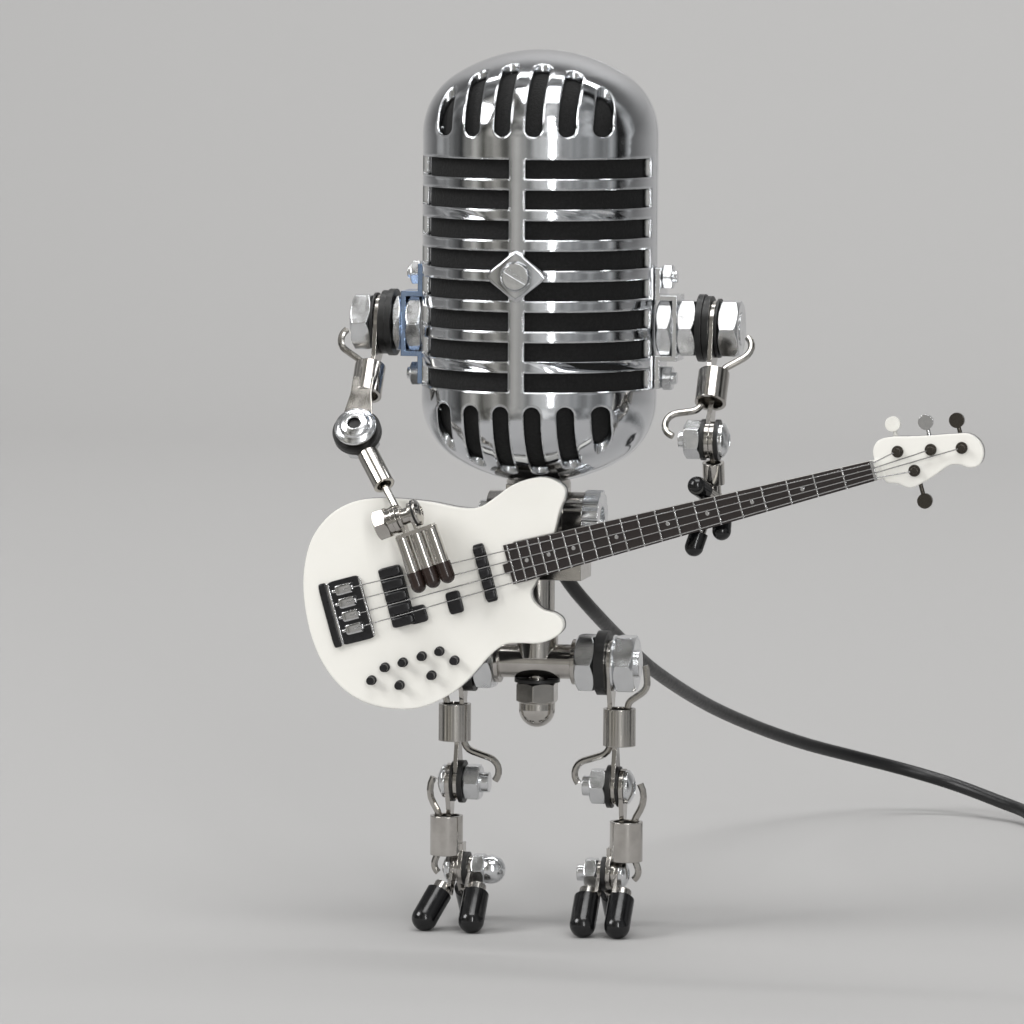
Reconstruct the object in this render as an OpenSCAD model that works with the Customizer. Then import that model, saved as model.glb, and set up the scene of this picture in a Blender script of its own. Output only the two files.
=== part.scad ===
// Robot shaped desk lamp: a slotted stage microphone shell on bolt and crimp lug limbs, with a small bass.
// Millimetres. The robot faces -Y, +X is its left hand side as seen by a viewer in front, +Z is up.

/* [Microphone shell] */
// Width of the shell
mic_w = 56.6; // [54:0.1:58]
// Height of the shell from pole to pole
mic_h = 104.1; // [102:0.1:106]
// Height of the shell's bottom pole above the table
mic_bottom = 108.6; // [108.6:0.1:112]
// Radius of the corner between the side and the crown
corner_r = 17; // [15:0.5:18]
// Radius of the crown
crown_r = 38; // [36:1:44]
// Thickness of the shell's wall
shell_wall = 1.8; // [1.4:0.1:2.4]
// Number of rows of openings
rows = 8; // [6:1:8]
// Distance from one row to the next
row_pitch = 7.2; // [7:0.01:7.3]
// Height of one opening
row_h = 4.5; // [3.5:0.01:5]
// Width of the upright bar in the middle
centre_bar = 3.9; // [3:0.1:5]
// Width of the smooth rim beside the seam on the front half
side_rim = 4.5; // [3.5:0.5:7]
// Width of the smooth rim beside the seam on the rear half
rear_rim = 7; // [6:0.5:8]
// Distance from one dome slot to the next
slot_pitch = 7.6; // [7:0.1:8]
// Width of a dome slot
slot_w = 4; // [3:0.1:4.6]
// Width of the boss in the middle of the grille
boss_w = 14.5; // [12:0.5:16]
// Height of the boss
boss_h = 11.5; // [10:0.5:13]
// Thickness of the black liner
liner_t = 0.8; // [0.6:0.1:1.2]

/* [Head swivel] */
// Height of the swivel's axis
pivot_z = 100; // [99.5:0.1:100.5]
// Diameter of the swivel's screw
pivot_d = 5; // [4:0.5:6]
// Width of the ear under the shell
ear_w = 13.8; // [12:0.1:14.5]
// Thickness of each cheek of the swivel base
cheek_t = 4.8; // [4:0.1:5.5]
// Diameter of the swivel's knob
knob_d = 14; // [11:0.5:14.5]

/* [Neck and hips] */
// Diameter of the neck pipe
pipe_d = 8.2; // [7:0.1:8.6]
// Height of the hip axis
hip_z = 65.3; // [65:0.1:66]
// Diameter of the hip tee
tee_d = 8.4; // [8:0.1:9]
// Length of the hip tee
tee_len = 20; // [18:0.5:22]
// Diameter of the hip studs
stud_d = 6.6; // [6:0.1:7]
// Width across the flats of the large nuts
big_af = 13; // [12:0.5:13]
// Thickness of the large nuts
big_nut_t = 5; // [4:0.1:5.5]
// Thickness of the hips' black washers
hip_washer_t = 2.5; // [2:0.1:3]

/* [Legs] */
// Height of the knee axis
knee_z = 35.3; // [35:0.1:36]
// Height of the ankle axis
ankle_z = 14; // [13.8:0.1:14.2]
// Thickness of the ring lugs
lug_t = 1.1; // [0.8:0.1:1.2]
// Diameter of the thigh sleeve
thigh_d = 7.9; // [7:0.1:8.4]
// Length of the thigh sleeve
thigh_len = 9; // [7:0.5:10]
// Diameter of the shin sleeve
shin_d = 8; // [7:0.1:8.4]
// Length of the shin sleeve
shin_len = 9.6; // [8:0.1:9.7]
// Diameter of the bent wire
wire_d = 1.7; // [1.2:0.1:2]
// Diameter of the toe barrels
barrel_d = 4.4; // [4:0.1:4.8]
// Diameter of the black toe caps
cap_d = 6.3; // [5.6:0.1:6.6]

/* [Arms] */
// Height of the shoulder axis
shoulder_z = 146.4; // [145:0.1:148]
// How far the shoulder axis lies behind the shell's middle
shoulder_y = 3; // [2:0.5:4]
// Distance from the shoulder axis to the elbow axis
upper_len = 31; // [30.5:0.1:31.5]
// Lean of the upper arms towards the front
arm_lean = 35; // [34:0.5:36]
// Diameter of the shoulder bolts
shoulder_d = 8; // [7:0.1:8]
// Diameter of the upper arm sleeve
upper_d = 7.5; // [7:0.1:8]
// Distance from the left elbow axis to the left wrist axis
forearm_len = 26.2; // [26:0.1:26.5]
// Swing of the left forearm towards the middle
forearm_swing = 31; // [30:0.5:32]
// Diameter of the finger tubes
finger_d = 3.3; // [3:0.1:3.3]
// Distance from one finger of the left hand to the next
finger_pitch = 3.7; // [3.7:0.05:4]

/* [Bass guitar] */
// Angle of the guitar's neck above the table
guitar_angle = 15.7; // [15.3:0.1:16]
// How far in front of the right wrist the guitar's back lies
guitar_hold = 6.2; // [6.2:0.1:6.6]
// Thickness of the black back layer
back_t = 1.3; // [1:0.1:1.5]
// Thickness of the white body
body_t = 2.3; // [2:0.1:2.5]
// Length of the fretboard
board_len = 90.4; // [88:0.1:92]
// Thickness of the fretboard
board_t = 1; // [0.8:0.1:1.2]
// Width of the fretboard at the body
board_w = 9.6; // [9:0.1:10]
// Width of the fretboard at the nut
nut_w = 4.8; // [4.4:0.1:5.2]
// Number of frets
frets_n = 20; // [18:1:22]
// Number of strings
strings_n = 4; // [4:1:4]

/* [Lead] */
// Diameter of the lead
cord_d = 3.5; // [3:0.1:3.6]

/* [Hidden] */

$fn = 48;
far = 80;
gap = 0.05;

// Place of the robot's own axis in the model's frame
axis_x = -28.72;
axis_y = 1.96;

// Shell
mic_r = mic_w / 2;
corner_x = mic_r - corner_r;
crown_drop = sqrt(pow(crown_r - corner_r, 2) - pow(corner_x, 2));
dome_h = crown_r - crown_drop;
mic_top = mic_bottom + mic_h;
mic_mid = mic_bottom + mic_h / 2;
z_lo = mic_bottom + dome_h;
z_hi = mic_top - dome_h;
rows_mid = mic_mid - 0.9;
row_top = rows_mid + ((rows - 1) * row_pitch + row_h) / 2;
slot_foot = mic_h / 2 - 20.2 + slot_w / 2;
slot_end = 15;
slots = 6;
boss_y = -mic_r - 0.9;
boss_screw_r = 3.1;
boss_recess = 0.5;
stud_in = mic_r - shell_wall + 0.1;
crown_hole_r = 7.9;

// Swivel
ear_r = 5.5;
ear_flange_r = 11;
inner_crown_r = crown_r - shell_wall;
flange_z = mic_bottom + crown_r - sqrt(pow(inner_crown_r, 2) - pow(ear_flange_r, 2)) + gap;
flange_t = 1.3;
flange_top = flange_z + flange_t;
pivot_r = pivot_d / 2;
cheek_in = ear_w / 2 + 0.1;
cheek_out = cheek_in + cheek_t;
base_y = 6.5;
base_top = pivot_z - ear_r - 0.9;
base_h = 8;
base_bottom = base_top - base_h;
knob_t = 3.9;

// Lamp inside the shell
holder_r = 7.5;
holder_h = 14;
bulb_r = 7;
bulb_len = 34;
dimmer_w = 10;
dimmer_t = 1.6;
dimmer_h = 24;
dimmer_y = holder_r + 0.8;

// Hips
tee_end = tee_len / 2;
hip_nut = tee_end + gap;
hip_washer = hip_nut + big_nut_t + gap;
hip_washer_r = 7.8;
hip_lug = hip_washer + hip_washer_t + 0.1;
hip_spacer = hip_lug + lug_t + 0.1;
hip_spacer_t = 0.6;
hip_outer = hip_spacer + hip_spacer_t + gap;
hip_end = hip_outer + big_nut_t + 0.8;
stud_r = stud_d / 2;
tee_r = tee_d / 2;
pipe_r = pipe_d / 2;
tee_socket_r = pipe_r + 0.9;
tee_socket_top = hip_z + 7.5;
pipe_foot = hip_z + 3.7;
gasket_t = 0.8;
acorn_top = hip_z - tee_r - gasket_t - 2 * gap;
acorn_r = 5.3;
acorn_hex_h = 5;
acorn_dome_r = 4.4;
acorn_stud_r = 2.5;
acorn_depth = 5;

// Knees, from the inner end of the bolt outwards
knee_r = 2.45;
knee_af = 8;
knee_end = 11.6;
knee_nut = 13.6;
knee_nut_t = 4;
knee_washer = knee_nut + knee_nut_t + gap;
knee_washer_t = 1.2;
knee_washer_r = 5.2;
knee_upper = knee_washer + knee_washer_t + gap;
knee_mid = knee_upper + lug_t + 0.1;
knee_mid_t = 0.6;
knee_lower = knee_mid + knee_mid_t + 0.1;
knee_head = knee_lower + lug_t + 0.1;
knee_head_t = 2.4;
knee_ring_r = 4.4;

// Ankles, from the inner end of the bolt outwards
ankle_r = 1.95;
ankle_af = 7;
ankle_end = 10.4;
ankle_nut = 12.3;
ankle_nut_t = 3.2;
ankle_inner = ankle_nut + ankle_nut_t + gap;
toe_ring_t = 0.9;
ankle_washer = ankle_inner + toe_ring_t + gap;
ankle_washer_t = 1.1;
ankle_lug = ankle_washer + ankle_washer_t + 0.1;
ankle_heel = ankle_lug + lug_t + 0.1;
ankle_outer = ankle_heel + toe_ring_t + gap;
ankle_head = ankle_outer + toe_ring_t + gap;
ankle_head_t = 2.3;
ankle_ring_r = 3.9;
toe_ring_r = 3.1;
toe_drop = 46;
cap_r = cap_d / 2;
barrel_r = barrel_d / 2;
sole = 0.15;
toe_len = (ankle_z - cap_r + sole) / sin(toe_drop);
toe_inner_x = 13.7;
toe_outer_x = 22.1;
heel_x = 18.1;
barrel_start = 5.2;
cap_start = toe_len - 7.8;

// Leg sleeves
thigh_x = 20.3;
thigh_top = 11;
shin_x = 22.2;
shin_top = 8.4;
mouth_depth = 2.6;
bend_step = 18;
sleeve_wall = 0.8;
hip_ring_r = 5.6;

// Shoulders, from the shell's side outwards; the right one has a thicker inner nut
bracket_t = 1.2;
bracket_in = mic_r + 0.15;
bracket_out = 33.8;
bracket_y = 5;
hat_half = big_af / 2 + 0.15;
flange_h = 6.6;
bracket_screw_dz = 12.2;
bracket_screw_r = 1.45;
bracket_nut_t = 2.4;
shoulder_inner = bracket_out + gap;
inner_t = [4.6, 2];
shoulder_washer_t = 3.2;
shoulder_washer_r = 8.1;
thin_washer_t = 0.6;
shoulder_r = shoulder_d / 2;
shoulder_ring_r = 6.6;
function shoulder_washer(side) = shoulder_inner + inner_t[side] + gap;
function shoulder_lug(side) = shoulder_washer(side) + shoulder_washer_t + 0.1;
function shoulder_outer(side) = shoulder_lug(side) + lug_t + thin_washer_t + 0.25;
function shoulder_end(side) = shoulder_outer(side) + big_nut_t + 0.2;
function arm_x(side) = shoulder_lug(side) + lug_t / 2 + 1;
upper_top = 12.6;
elbow_drop = 10.2;
upper_sleeve_len = upper_len - upper_top - elbow_drop;
// The left upper arm reaches a little further down and outwards
left_more = 0.9;
left_out = 0.35;
elbow_tongue = elbow_drop + mouth_depth + 0.5;

// Elbows
elbow_r = 1.95;
elbow_ring_r = 4.4;
elbow_washer_r = 4.9;
elbow_washer_t = 0.9;
elbow_af = 8;
elbow_nut_t = 4;
elbow_head_r = 4.1;
elbow_head_t = 2.4;
elbow_upper = arm_x(0) + 0.05;
elbow_lower = elbow_upper + lug_t + 0.1;
elbow_y = shoulder_y - upper_len * sin(arm_lean);
elbow_z = shoulder_z - upper_len * cos(arm_lean);
left_washer_r = 5.9;
left_washer_t = 1.6;
left_lug = -lug_t / 2;
left_upper = left_lug - left_washer_t - lug_t - 0.2;
forearm_d = 5.2;
wrist_r = 1.95;
wrist_af = 7;
wrist_tilt = 20;
wrist_nut_t = 3.2;
wrist_lug = -1.65;
yoke_in = wrist_lug + lug_t + 0.1;
yoke_out = yoke_in + 2.9;
left_sleeve_end = 16;
tail_top = left_sleeve_end - mouth_depth - 0.4;
finger_r = finger_d / 2;
finger_cap_r = 1.82;
yoke_r = 2.8;
yoke_t = 0.9;
wrist_head = yoke_out + yoke_t + 0.6;
wrist_washer_t = 1.3;
wrist_nut = wrist_lug - wrist_washer_t - 2 * gap - wrist_nut_t;
yoke_drop = 3.7;
first_finger = -1.4;
finger_end = 16.6;
finger_cap_len = 3.4;
wrist_tail_r = 0.9;
wrist_tail_start = 3.2;
elbow_turn = [sin(forearm_swing), -cos(forearm_swing) * sin(arm_lean), -cos(forearm_swing) * cos(arm_lean)];
left_elbow = [-arm_x(1) - left_out, elbow_y - left_more * sin(arm_lean),
    elbow_z - left_more * cos(arm_lean)];
left_wrist = left_elbow + forearm_len * elbow_turn;
right_sleeve_x = elbow_lower + 0.4;
right_wrist = [right_sleeve_x, elbow_y + 3, elbow_z - 14];
right_bend = atan2(right_wrist[1] - elbow_y, elbow_z - right_wrist[2]);
right_sleeve_end = 10.8;
right_len = norm([0, 3, 14]);
right_cap_r = 2.25;
right_cap_len = 3.6;
// Root and tip of each finger of the right hand, from its wrist
right_fingers = [[[-0.2, -1, 0.4], [-2.9, -7.5, 3.4]], [[-1.4, -0.5, -2], [-4.2, -3.2, -11.6]],
    [[2.2, 0, -1.4], [2.4, -3.2, -7.6]]];

// Guitar, in its own frame: u along the neck from the fretboard's end, v across, w forwards from the back
guitar_x = -2.7;
guitar_y = guitar_hold - right_wrist[1];
guitar_z = right_wrist[2] - 16.3;
body_w1 = back_t + body_t;
neck_t = 1.8;
neck_w0 = body_w1 - neck_t;
board_w1 = body_w1 + board_t;
pocket_end = 2.5;
heel_clear = 0.1;
neck_run = 2;
fret_h = 0.25;
fret_l = 0.35;
string_d = 0.3;
string_w = board_w1 + 0.5;
nut_u = board_len + 0.5;
saddle_u = -40.5;
scale_len = nut_u - saddle_u;
body_pts = [[-51.5, -3], [-50.8, 4.5], [-48.8, 11.5], [-45, 17.9], [-39.3, 22.2], [-33, 23.8], [-27, 23.2],
    [-21.3, 21.5], [-14.5, 19], [-8, 16], [-3.5, 15], [0.5, 16.1], [5.5, 18], [10.5, 18.5], [14.6, 17.6],
    [17.6, 14.8], [17.3, 12.2], [15.2, 9.4], [12.8, 5], [9, -0.8], [5, -5.8], [3.4, -7.6], [3.3, -9.8],
    [5, -12.4], [7.6, -14], [9, -16], [8.4, -18.3], [5.6, -19.7], [1.8, -19.9], [-2, -18.9], [-6, -18.2],
    [-10, -19.7], [-14, -22.3], [-19, -25.3], [-25, -27.3], [-31, -27.8], [-37, -26.4], [-42.3, -23.8],
    [-46.5, -20], [-49.3, -15.2], [-51, -9.5]];
// Outline of the head and its posts, from the nut
head_pts = [[0.6, 3.4], [2.2, 6.3], [5.2, 6.7], [10.2, 5.6], [15, 4.6], [20, 3.7], [23.8, 2.7], [25.8, 0.2],
    [25.9, -2.6], [24.4, -4.8], [22, -5], [19.6, -3.6], [17.2, -3.3], [14, -4.5], [10.5, -5.6],
    [7.2, -6.1], [4.6, -4.4], [1.6, -2.8]];
posts = [for (p = [[6.4, 2.9, 1], [14.1, 1.4, 1], [21.3, 0, 1], [9.1, -2.4, -1]])
    [nut_u + p[0], p[1], p[2]]];
key_reach = 6.4;
low_key_reach = 7.7;
key_r = 1.8;
key_w = neck_w0 - back_t - 0.6;
knobs = [[-39.8, -18.6], [-35.8, -16.4], [-31.2, -16.3], [-26.3, -16], [-21.8, -15.9], [-18.8, -18.9],
    [-33.4, -21.4], [-25.2, -21]];
bridge_size = [10.7, 16, 0.7];
bridge_u = saddle_u - 6.1;
bridge_v = -9.1;
bridge_wall = [2, bridge_size[1], 1.1];
saddle_size = [5, 2.4];
// Middle, width and length of the two pickups, and the thumb rest with its corner
pickup_rear = [[-28.4, -0.9], [5.8, 14.8]];
pickup_front = [[-6, -0.8], [2.9, 14.4]];
pickup_base_t = 0.8;
pickup_lip = [[-25.6, -8.2], [2.7, 4.5]];
thumb_rest = [[-16.9, -8.2], [3.6, 5.4]];

// Lead: the route of the stretch that isn't coiled, its coil and its plug
cord_r = cord_d / 2;
cord_route = [[0, 16, 88.5], [0.8, 20.5, 86.6], [3.2, 27, 80.6], [6.3, 38, 73.6], [8.7, 62, 64],
    [11.7, 95, 52.2], [16.9, 140, 38.7], [25.1, 172, 28.9], [34.9, 196, 21.5], [46.1, 213, 16.1],
    [58.7, 222, 11.8], [72.6, 222, 8.1], [87.8, 212, 4.7], [93.8, 206, 3.7], [99, 196, 2.6],
    [102.5, 186, 1.9], [103.5, 177, 1.8], [103, 168, 1.8]];
coil_x = 131;
coil_y = 168;
coil_r = 19;
coil_turns = 4;
coil_layers = 3;
coil_out = coil_r + coil_turns / 2 * cord_d;
plug_x = coil_x + coil_out + 0.3;
plug_y = coil_y + 4;
plug_size = [10, 22, 7];
plug_shell = [8, 12, 4.4];

// ---------- Frames and small shapes ----------

// Puts what is drawn about the robot's axis into the model's frame
module place() translate([axis_x, axis_y, 0]) children();

// Side 0 is on +X, side 1 is its mirror image
module on_side(side) if (side == 1) mirror([1, 0, 0]) children(); else children();

module disc_x(x, t, r) translate([x, 0, 0]) rotate([0, 90, 0]) cylinder(r = r, h = t);

module ring_x(x, t, r, bore) difference() {
    disc_x(x, t, r);
    disc_x(x - 1, t + 2, bore);
}

// Hexagon nut or bolt head on the X axis, with its corners chamfered and a flat on top
module hex_x(x, t, af) translate([x, 0, 0]) rotate([0, 90, 0]) intersection() {
    rotate([0, 0, 30]) cylinder(d = af / cos(30), h = t, $fn = 6);
    rotate_extrude() polygon([[0, 0], [0.48 * af, 0], [0.6 * af, 0.08 * af], [0.6 * af, t - 0.08 * af],
        [0.48 * af, t], [0, t]]);
}

module nut_x(x, t, af, bore) difference() {
    hex_x(x, t, af);
    disc_x(x - 1, t + 2, bore);
}

// Domed screw head on the X axis with a hexagon socket in its outer face
module button_x(x, t, r) {
    rise = 0.65 * t;
    dome_r = (r * r + rise * rise) / (2 * rise);
    translate([x, 0, 0]) rotate([0, 90, 0]) difference() {
        intersection() {
            cylinder(r = r, h = t);
            translate([0, 0, t - dome_r]) sphere(r = dome_r);
        }
        translate([0, 0, t / 2]) cylinder(r = 0.42 * r, h = t, $fn = 6);
    }
}

// Turns +Z towards q and draws from p
module toward(p, q) {
    d = q - p;
    translate(p) rotate([0, acos(d[2] / norm(d)), atan2(d[1], d[0])]) children();
}

module rod(p, q, r) toward(p, q) cylinder(r = r, h = norm(q - p));

// Ring lug in the plane across X: a ring on the axis with a tongue that narrows to w at depth len below it
module lug(x, r, w, len) translate([x, 0, 0]) rotate([90, 0, 90]) linear_extrude(lug_t) {
    circle(r = r);
    polygon([[-0.8 * r, -0.6 * r], [0.8 * r, -0.6 * r], [w / 2, -len * 0.7], [w / 2, -len], [-w / 2, -len],
        [-w / 2, -len * 0.7]]);
}

// Crimp sleeve standing on z, with an open mouth at each end
module sleeve(x, z, d, len) translate([x, 0, z]) difference() {
    cylinder(d = d, h = len);
    for (mouth = [-1, len - mouth_depth])
        translate([0, 0, mouth]) cylinder(d = d - 2 * sleeve_wall, h = mouth_depth + 1);
}

// Points of a bent wire in the XZ plane from p, at an angle from +Z towards +X.
// Each step is [length, 0], or [bend radius, turn towards +X]
function wire_line(steps, p = [0, 0, 0], angle = 0, i = 0) = i == len(steps) ? [p] :
    let (size = steps[i][0], turn = steps[i][1], n = ceil(abs(turn) / bend_step), side = sign(turn),
        centre = p + side * size * [cos(angle), 0, -sin(angle)])
    turn == 0 ? concat([p], wire_line(steps, p + size * [sin(angle), 0, cos(angle)], angle, i + 1)) :
    let (bend = [for (k = [0 : n]) let (a = angle + turn * k / n)
        centre - side * size * [cos(a), 0, -sin(a)]])
    concat([for (k = [0 : n - 1]) bend[k]], wire_line(steps, bend[n], angle + turn, i + 1));

module wire(steps) tube(wire_line(steps), wire_d / 2, 10, [0, 1, 0]);

// Black dipped cap over the end of a barrel: a sleeve of length len from the origin along +Z and a round end
module cap_solid(r, len) {
    cylinder(r = r, h = len);
    translate([0, 0, len]) sphere(r = r);
}

module cap_bore(bore, len) translate([0, 0, -1]) cylinder(r = bore, h = len + 1);

// ---------- Smooth lines ----------

function spline_point(a, b, c, d, t) = 0.5 * (2 * b + (c - a) * t + (2 * a - 5 * b + 4 * c - d) * t * t
    + (3 * b - a - 3 * c + d) * t * t * t);

// Closed smooth outline through the points, with n steps from one to the next
function outline(pts, n) = let (m = len(pts)) [for (i = [0 : m - 1]) for (k = [0 : n - 1])
    spline_point(pts[(i + m - 1) % m], pts[i], pts[(i + 1) % m], pts[(i + 2) % m], k / n)];

// Open smooth line through the points
function smooth_line(pts, n) = let (m = len(pts)) concat([for (i = [0 : m - 2]) for (k = [0 : n - 1])
    spline_point(pts[max(i - 1, 0)], pts[i], pts[i + 1], pts[min(i + 2, m - 1)], k / n)], [pts[m - 1]]);

// ---------- Microphone shell ----------

// Half outline of one dome, in from the shell's surface by off, above the height of the corner's centre
module dome_2d(off) {
    reach = 1.2 * crown_r / (crown_r - corner_r);
    translate([corner_x, 0]) circle(r = corner_r - off);
    intersection() {
        translate([0, -crown_drop]) circle(r = crown_r - off);
        polygon([[0, -crown_drop], [corner_x * reach, crown_drop * (reach - 1)], [0, far]]);
    }
    translate([0, -crown_drop]) square([corner_x, crown_drop]);
}

module shell_2d(off) intersection() {
    union() {
        translate([0, z_lo]) square([mic_r - off, z_hi - z_lo]);
        translate([0, z_hi]) dome_2d(off);
        translate([0, z_lo]) mirror([0, 1]) dome_2d(off);
    }
    square([mic_r - off, mic_top]);
}

// One row opening on the +X side of the middle bar
module row_cut(z, rim) translate([centre_bar / 2, -far - rim, z]) cube([far, far, row_h]);

// One slot that starts as a round end low on the dome and runs over it
module slot_cut(x) translate([x, -slot_end - slot_w / 2, slot_foot]) {
    translate([-slot_w / 2, -far, 0]) cube([slot_w, far, far]);
    cylinder(d = slot_w, h = far);
    rotate([90, 0, 0]) cylinder(d = slot_w, h = far);
}

module half_shell(rim) difference() {
    rotate([0, 0, 180]) rotate_extrude(angle = 180) difference() {
        shell_2d(0);
        shell_2d(shell_wall);
    }
    for (i = [0 : rows - 1]) for (side = [0, 1]) on_side(side)
        row_cut(row_top - row_h - i * row_pitch, rim);
    translate([0, 0, mic_mid]) for (end = [0, 1]) mirror([0, 0, end])
        for (i = [0 : slots - 1]) slot_cut((i - (slots - 1) / 2) * slot_pitch);
    cylinder(r = crown_hole_r, h = mic_bottom + 10);
}

// Diamond with hollow sides around the middle screw, in front of the grille's inner face
module boss() translate([0, 0, rows_mid]) difference() {
    rotate([90, 0, 0]) linear_extrude(-boss_y) polygon([for (a = [0 : 15 : 345])
        let (k = 1 - 0.24 * abs(sin(2 * a))) [k * boss_w / 2 * cos(a), k * boss_h / 2 * sin(a)]]);
    translate([0, 0, -boss_h]) cylinder(r = mic_r - shell_wall, h = 2 * boss_h);
    translate([0, boss_y + boss_recess, 0]) rotate([90, 0, 0])
        cylinder(r = boss_screw_r + 0.15, h = 2 * boss_recess);
}

// Holes for the studs that hold the shoulder brackets
module stud_holes() for (side = [0, 1]) on_side(side) for (dz = [-1, 1])
    translate([0, shoulder_y, shoulder_z + dz * bracket_screw_dz])
        disc_x(mic_r - 2 * shell_wall, 3 * shell_wall, bracket_screw_r + gap);

module front_shell() color("silver") place() {
    half_shell(side_rim);
    boss();
}

module rear_shell() color("silver") place() difference() {
    mirror([0, 1, 0]) half_shell(rear_rim);
    stud_holes();
}

module grille_liner() color([0.05, 0.05, 0.05]) place() difference() {
    rotate_extrude() difference() {
        shell_2d(shell_wall + 0.3);
        shell_2d(shell_wall + 0.3 + liner_t);
    }
    cylinder(r = ear_flange_r + 1.5, h = mic_bottom + 12);
}

module shell_fasteners() color("silver") place() {
    translate([0, 0, rows_mid]) difference() {
        translate([0, boss_y + boss_recess - gap, 0]) rotate([90, 0, 0]) cylinder(r = boss_screw_r, h = 1.3);
        translate([0, boss_y - 1.3, 0]) rotate([0, 30, 0])
            cube([2 * boss_screw_r + 1, 2, 0.8], center = true);
    }
    for (side = [0, 1]) on_side(side) for (dz = [-1, 1])
        translate([0, shoulder_y, shoulder_z + dz * bracket_screw_dz]) {
            disc_x(stud_in, bracket_in + bracket_t + bracket_nut_t + 1 - stud_in, bracket_screw_r);
            nut_x(bracket_in + bracket_t + gap, bracket_nut_t, 5.5, bracket_screw_r + gap);
        }
}

// ---------- Shoulders ----------

// Sheet metal hat: two flanges on the shell and a bridge that stands off it
module shoulder_bracket() translate([0, shoulder_y, shoulder_z]) difference() {
    translate([0, bracket_y, 0]) rotate([90, 0, 0]) linear_extrude(2 * bracket_y) {
        for (dz = [0, 1]) mirror([0, dz]) {
            translate([bracket_in, hat_half]) square([bracket_t, flange_h + bracket_t]);
            translate([bracket_in, hat_half]) square([bracket_out - bracket_in, bracket_t]);
        }
        translate([bracket_out - bracket_t, -hat_half - bracket_t])
            square([bracket_t, 2 * (hat_half + bracket_t)]);
    }
    disc_x(bracket_out - 2, 4, shoulder_r + gap);
    for (dz = [-1, 1]) translate([0, 0, dz * bracket_screw_dz])
        disc_x(bracket_in - 1, 4, bracket_screw_r + gap);
}

module shoulder_brackets() color([0.72, 0.76, 0.82]) place()
    for (side = [0, 1]) on_side(side) shoulder_bracket();

module shoulder_bolt(side) translate([0, shoulder_y, shoulder_z]) {
    head_x = bracket_in + 0.3;
    neck_x = bracket_out - bracket_t - gap;
    hex_x(head_x, neck_x - head_x, big_af);
    disc_x(neck_x - 0.5, shoulder_end(side) - neck_x + 0.5, shoulder_r);
    nut_x(shoulder_inner, inner_t[side], big_af, shoulder_r + gap);
    nut_x(shoulder_outer(side), big_nut_t, big_af, shoulder_r + gap);
}

module shoulder_bolts() color([0.8, 0.82, 0.85]) place()
    for (side = [0, 1]) on_side(side) shoulder_bolt(side);

module shoulder_washers() color([0.08, 0.08, 0.08]) place() for (side = [0, 1]) on_side(side)
    translate([0, shoulder_y, shoulder_z]) {
        ring_x(shoulder_washer(side), shoulder_washer_t / 2 - gap, shoulder_washer_r, shoulder_r + gap);
        ring_x(shoulder_washer(side) + shoulder_washer_t / 2, shoulder_washer_t / 2, shoulder_washer_r - 0.4,
            shoulder_r + gap);
        ring_x(shoulder_outer(side) - thin_washer_t - gap, thin_washer_t, shoulder_washer_r - 1,
            shoulder_r + gap);
    }

// ---------- Swivel and what is inside the shell ----------

module swivel_ear() color([0.6, 0.6, 0.62]) place() difference() {
    union() {
        translate([-ear_w / 2, 0, pivot_z]) rotate([0, 90, 0]) cylinder(r = ear_r, h = ear_w);
        translate([-ear_w / 2, -ear_r, pivot_z])
            cube([ear_w, 2 * ear_r, mic_bottom - pivot_z - 0.2]);
        translate([0, 0, mic_bottom - 1]) cylinder(r = crown_hole_r - 0.2, h = flange_z - mic_bottom + 1.2);
        translate([0, 0, flange_z]) cylinder(r = ear_flange_r, h = flange_t);
    }
    translate([0, 0, pivot_z]) disc_x(-ear_w, 2 * ear_w, pivot_r + 0.07);
    translate([0, 0, pivot_z + ear_r]) cylinder(r = 2.2, h = far);
}

module bulb_holder() color([0.92, 0.92, 0.9]) place() translate([0, 0, flange_top + gap]) difference() {
    cylinder(r = holder_r, h = holder_h);
    translate([0, 0, 3]) cylinder(r = holder_r - 1.2, h = holder_h);
}

module led_bulb() color([0.98, 0.93, 0.8]) place() translate([0, 0, flange_top + 3.2]) {
    cylinder(r = holder_r - 1.4, h = holder_h - 3);
    translate([0, 0, holder_h - 3]) {
        cylinder(r = bulb_r, h = bulb_len - bulb_r);
        translate([0, 0, bulb_len - bulb_r]) sphere(r = bulb_r);
    }
}

module dimmer_board() color([0.1, 0.4, 0.2]) place()
    translate([-dimmer_w / 2, dimmer_y, flange_top + gap]) {
        cube([dimmer_w, dimmer_t, dimmer_h]);
        translate([1.5, dimmer_t, 6]) cube([4, 1.5, 5]);
        translate([2, dimmer_t, 14]) cube([6, 1.2, 6]);
    }

module swivel_base() color([0.6, 0.6, 0.62]) place() difference() {
    union() {
        translate([-cheek_out, -base_y, base_bottom]) cube([2 * cheek_out, 2 * base_y, base_h]);
        for (side = [0, 1]) on_side(side) {
            translate([0, 0, pivot_z]) disc_x(cheek_in, cheek_t, base_y);
            translate([cheek_in, -base_y, base_bottom]) cube([cheek_t, 2 * base_y, pivot_z - base_bottom]);
        }
    }
    translate([0, 0, pivot_z]) disc_x(-far / 2, far, pivot_r + gap);
    translate([0, 0, base_bottom - 1]) cylinder(r = pipe_r + gap, h = 5);
    translate([0, 0, base_bottom - 1]) cylinder(r = 2.2, h = base_h + 2);
}

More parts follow.
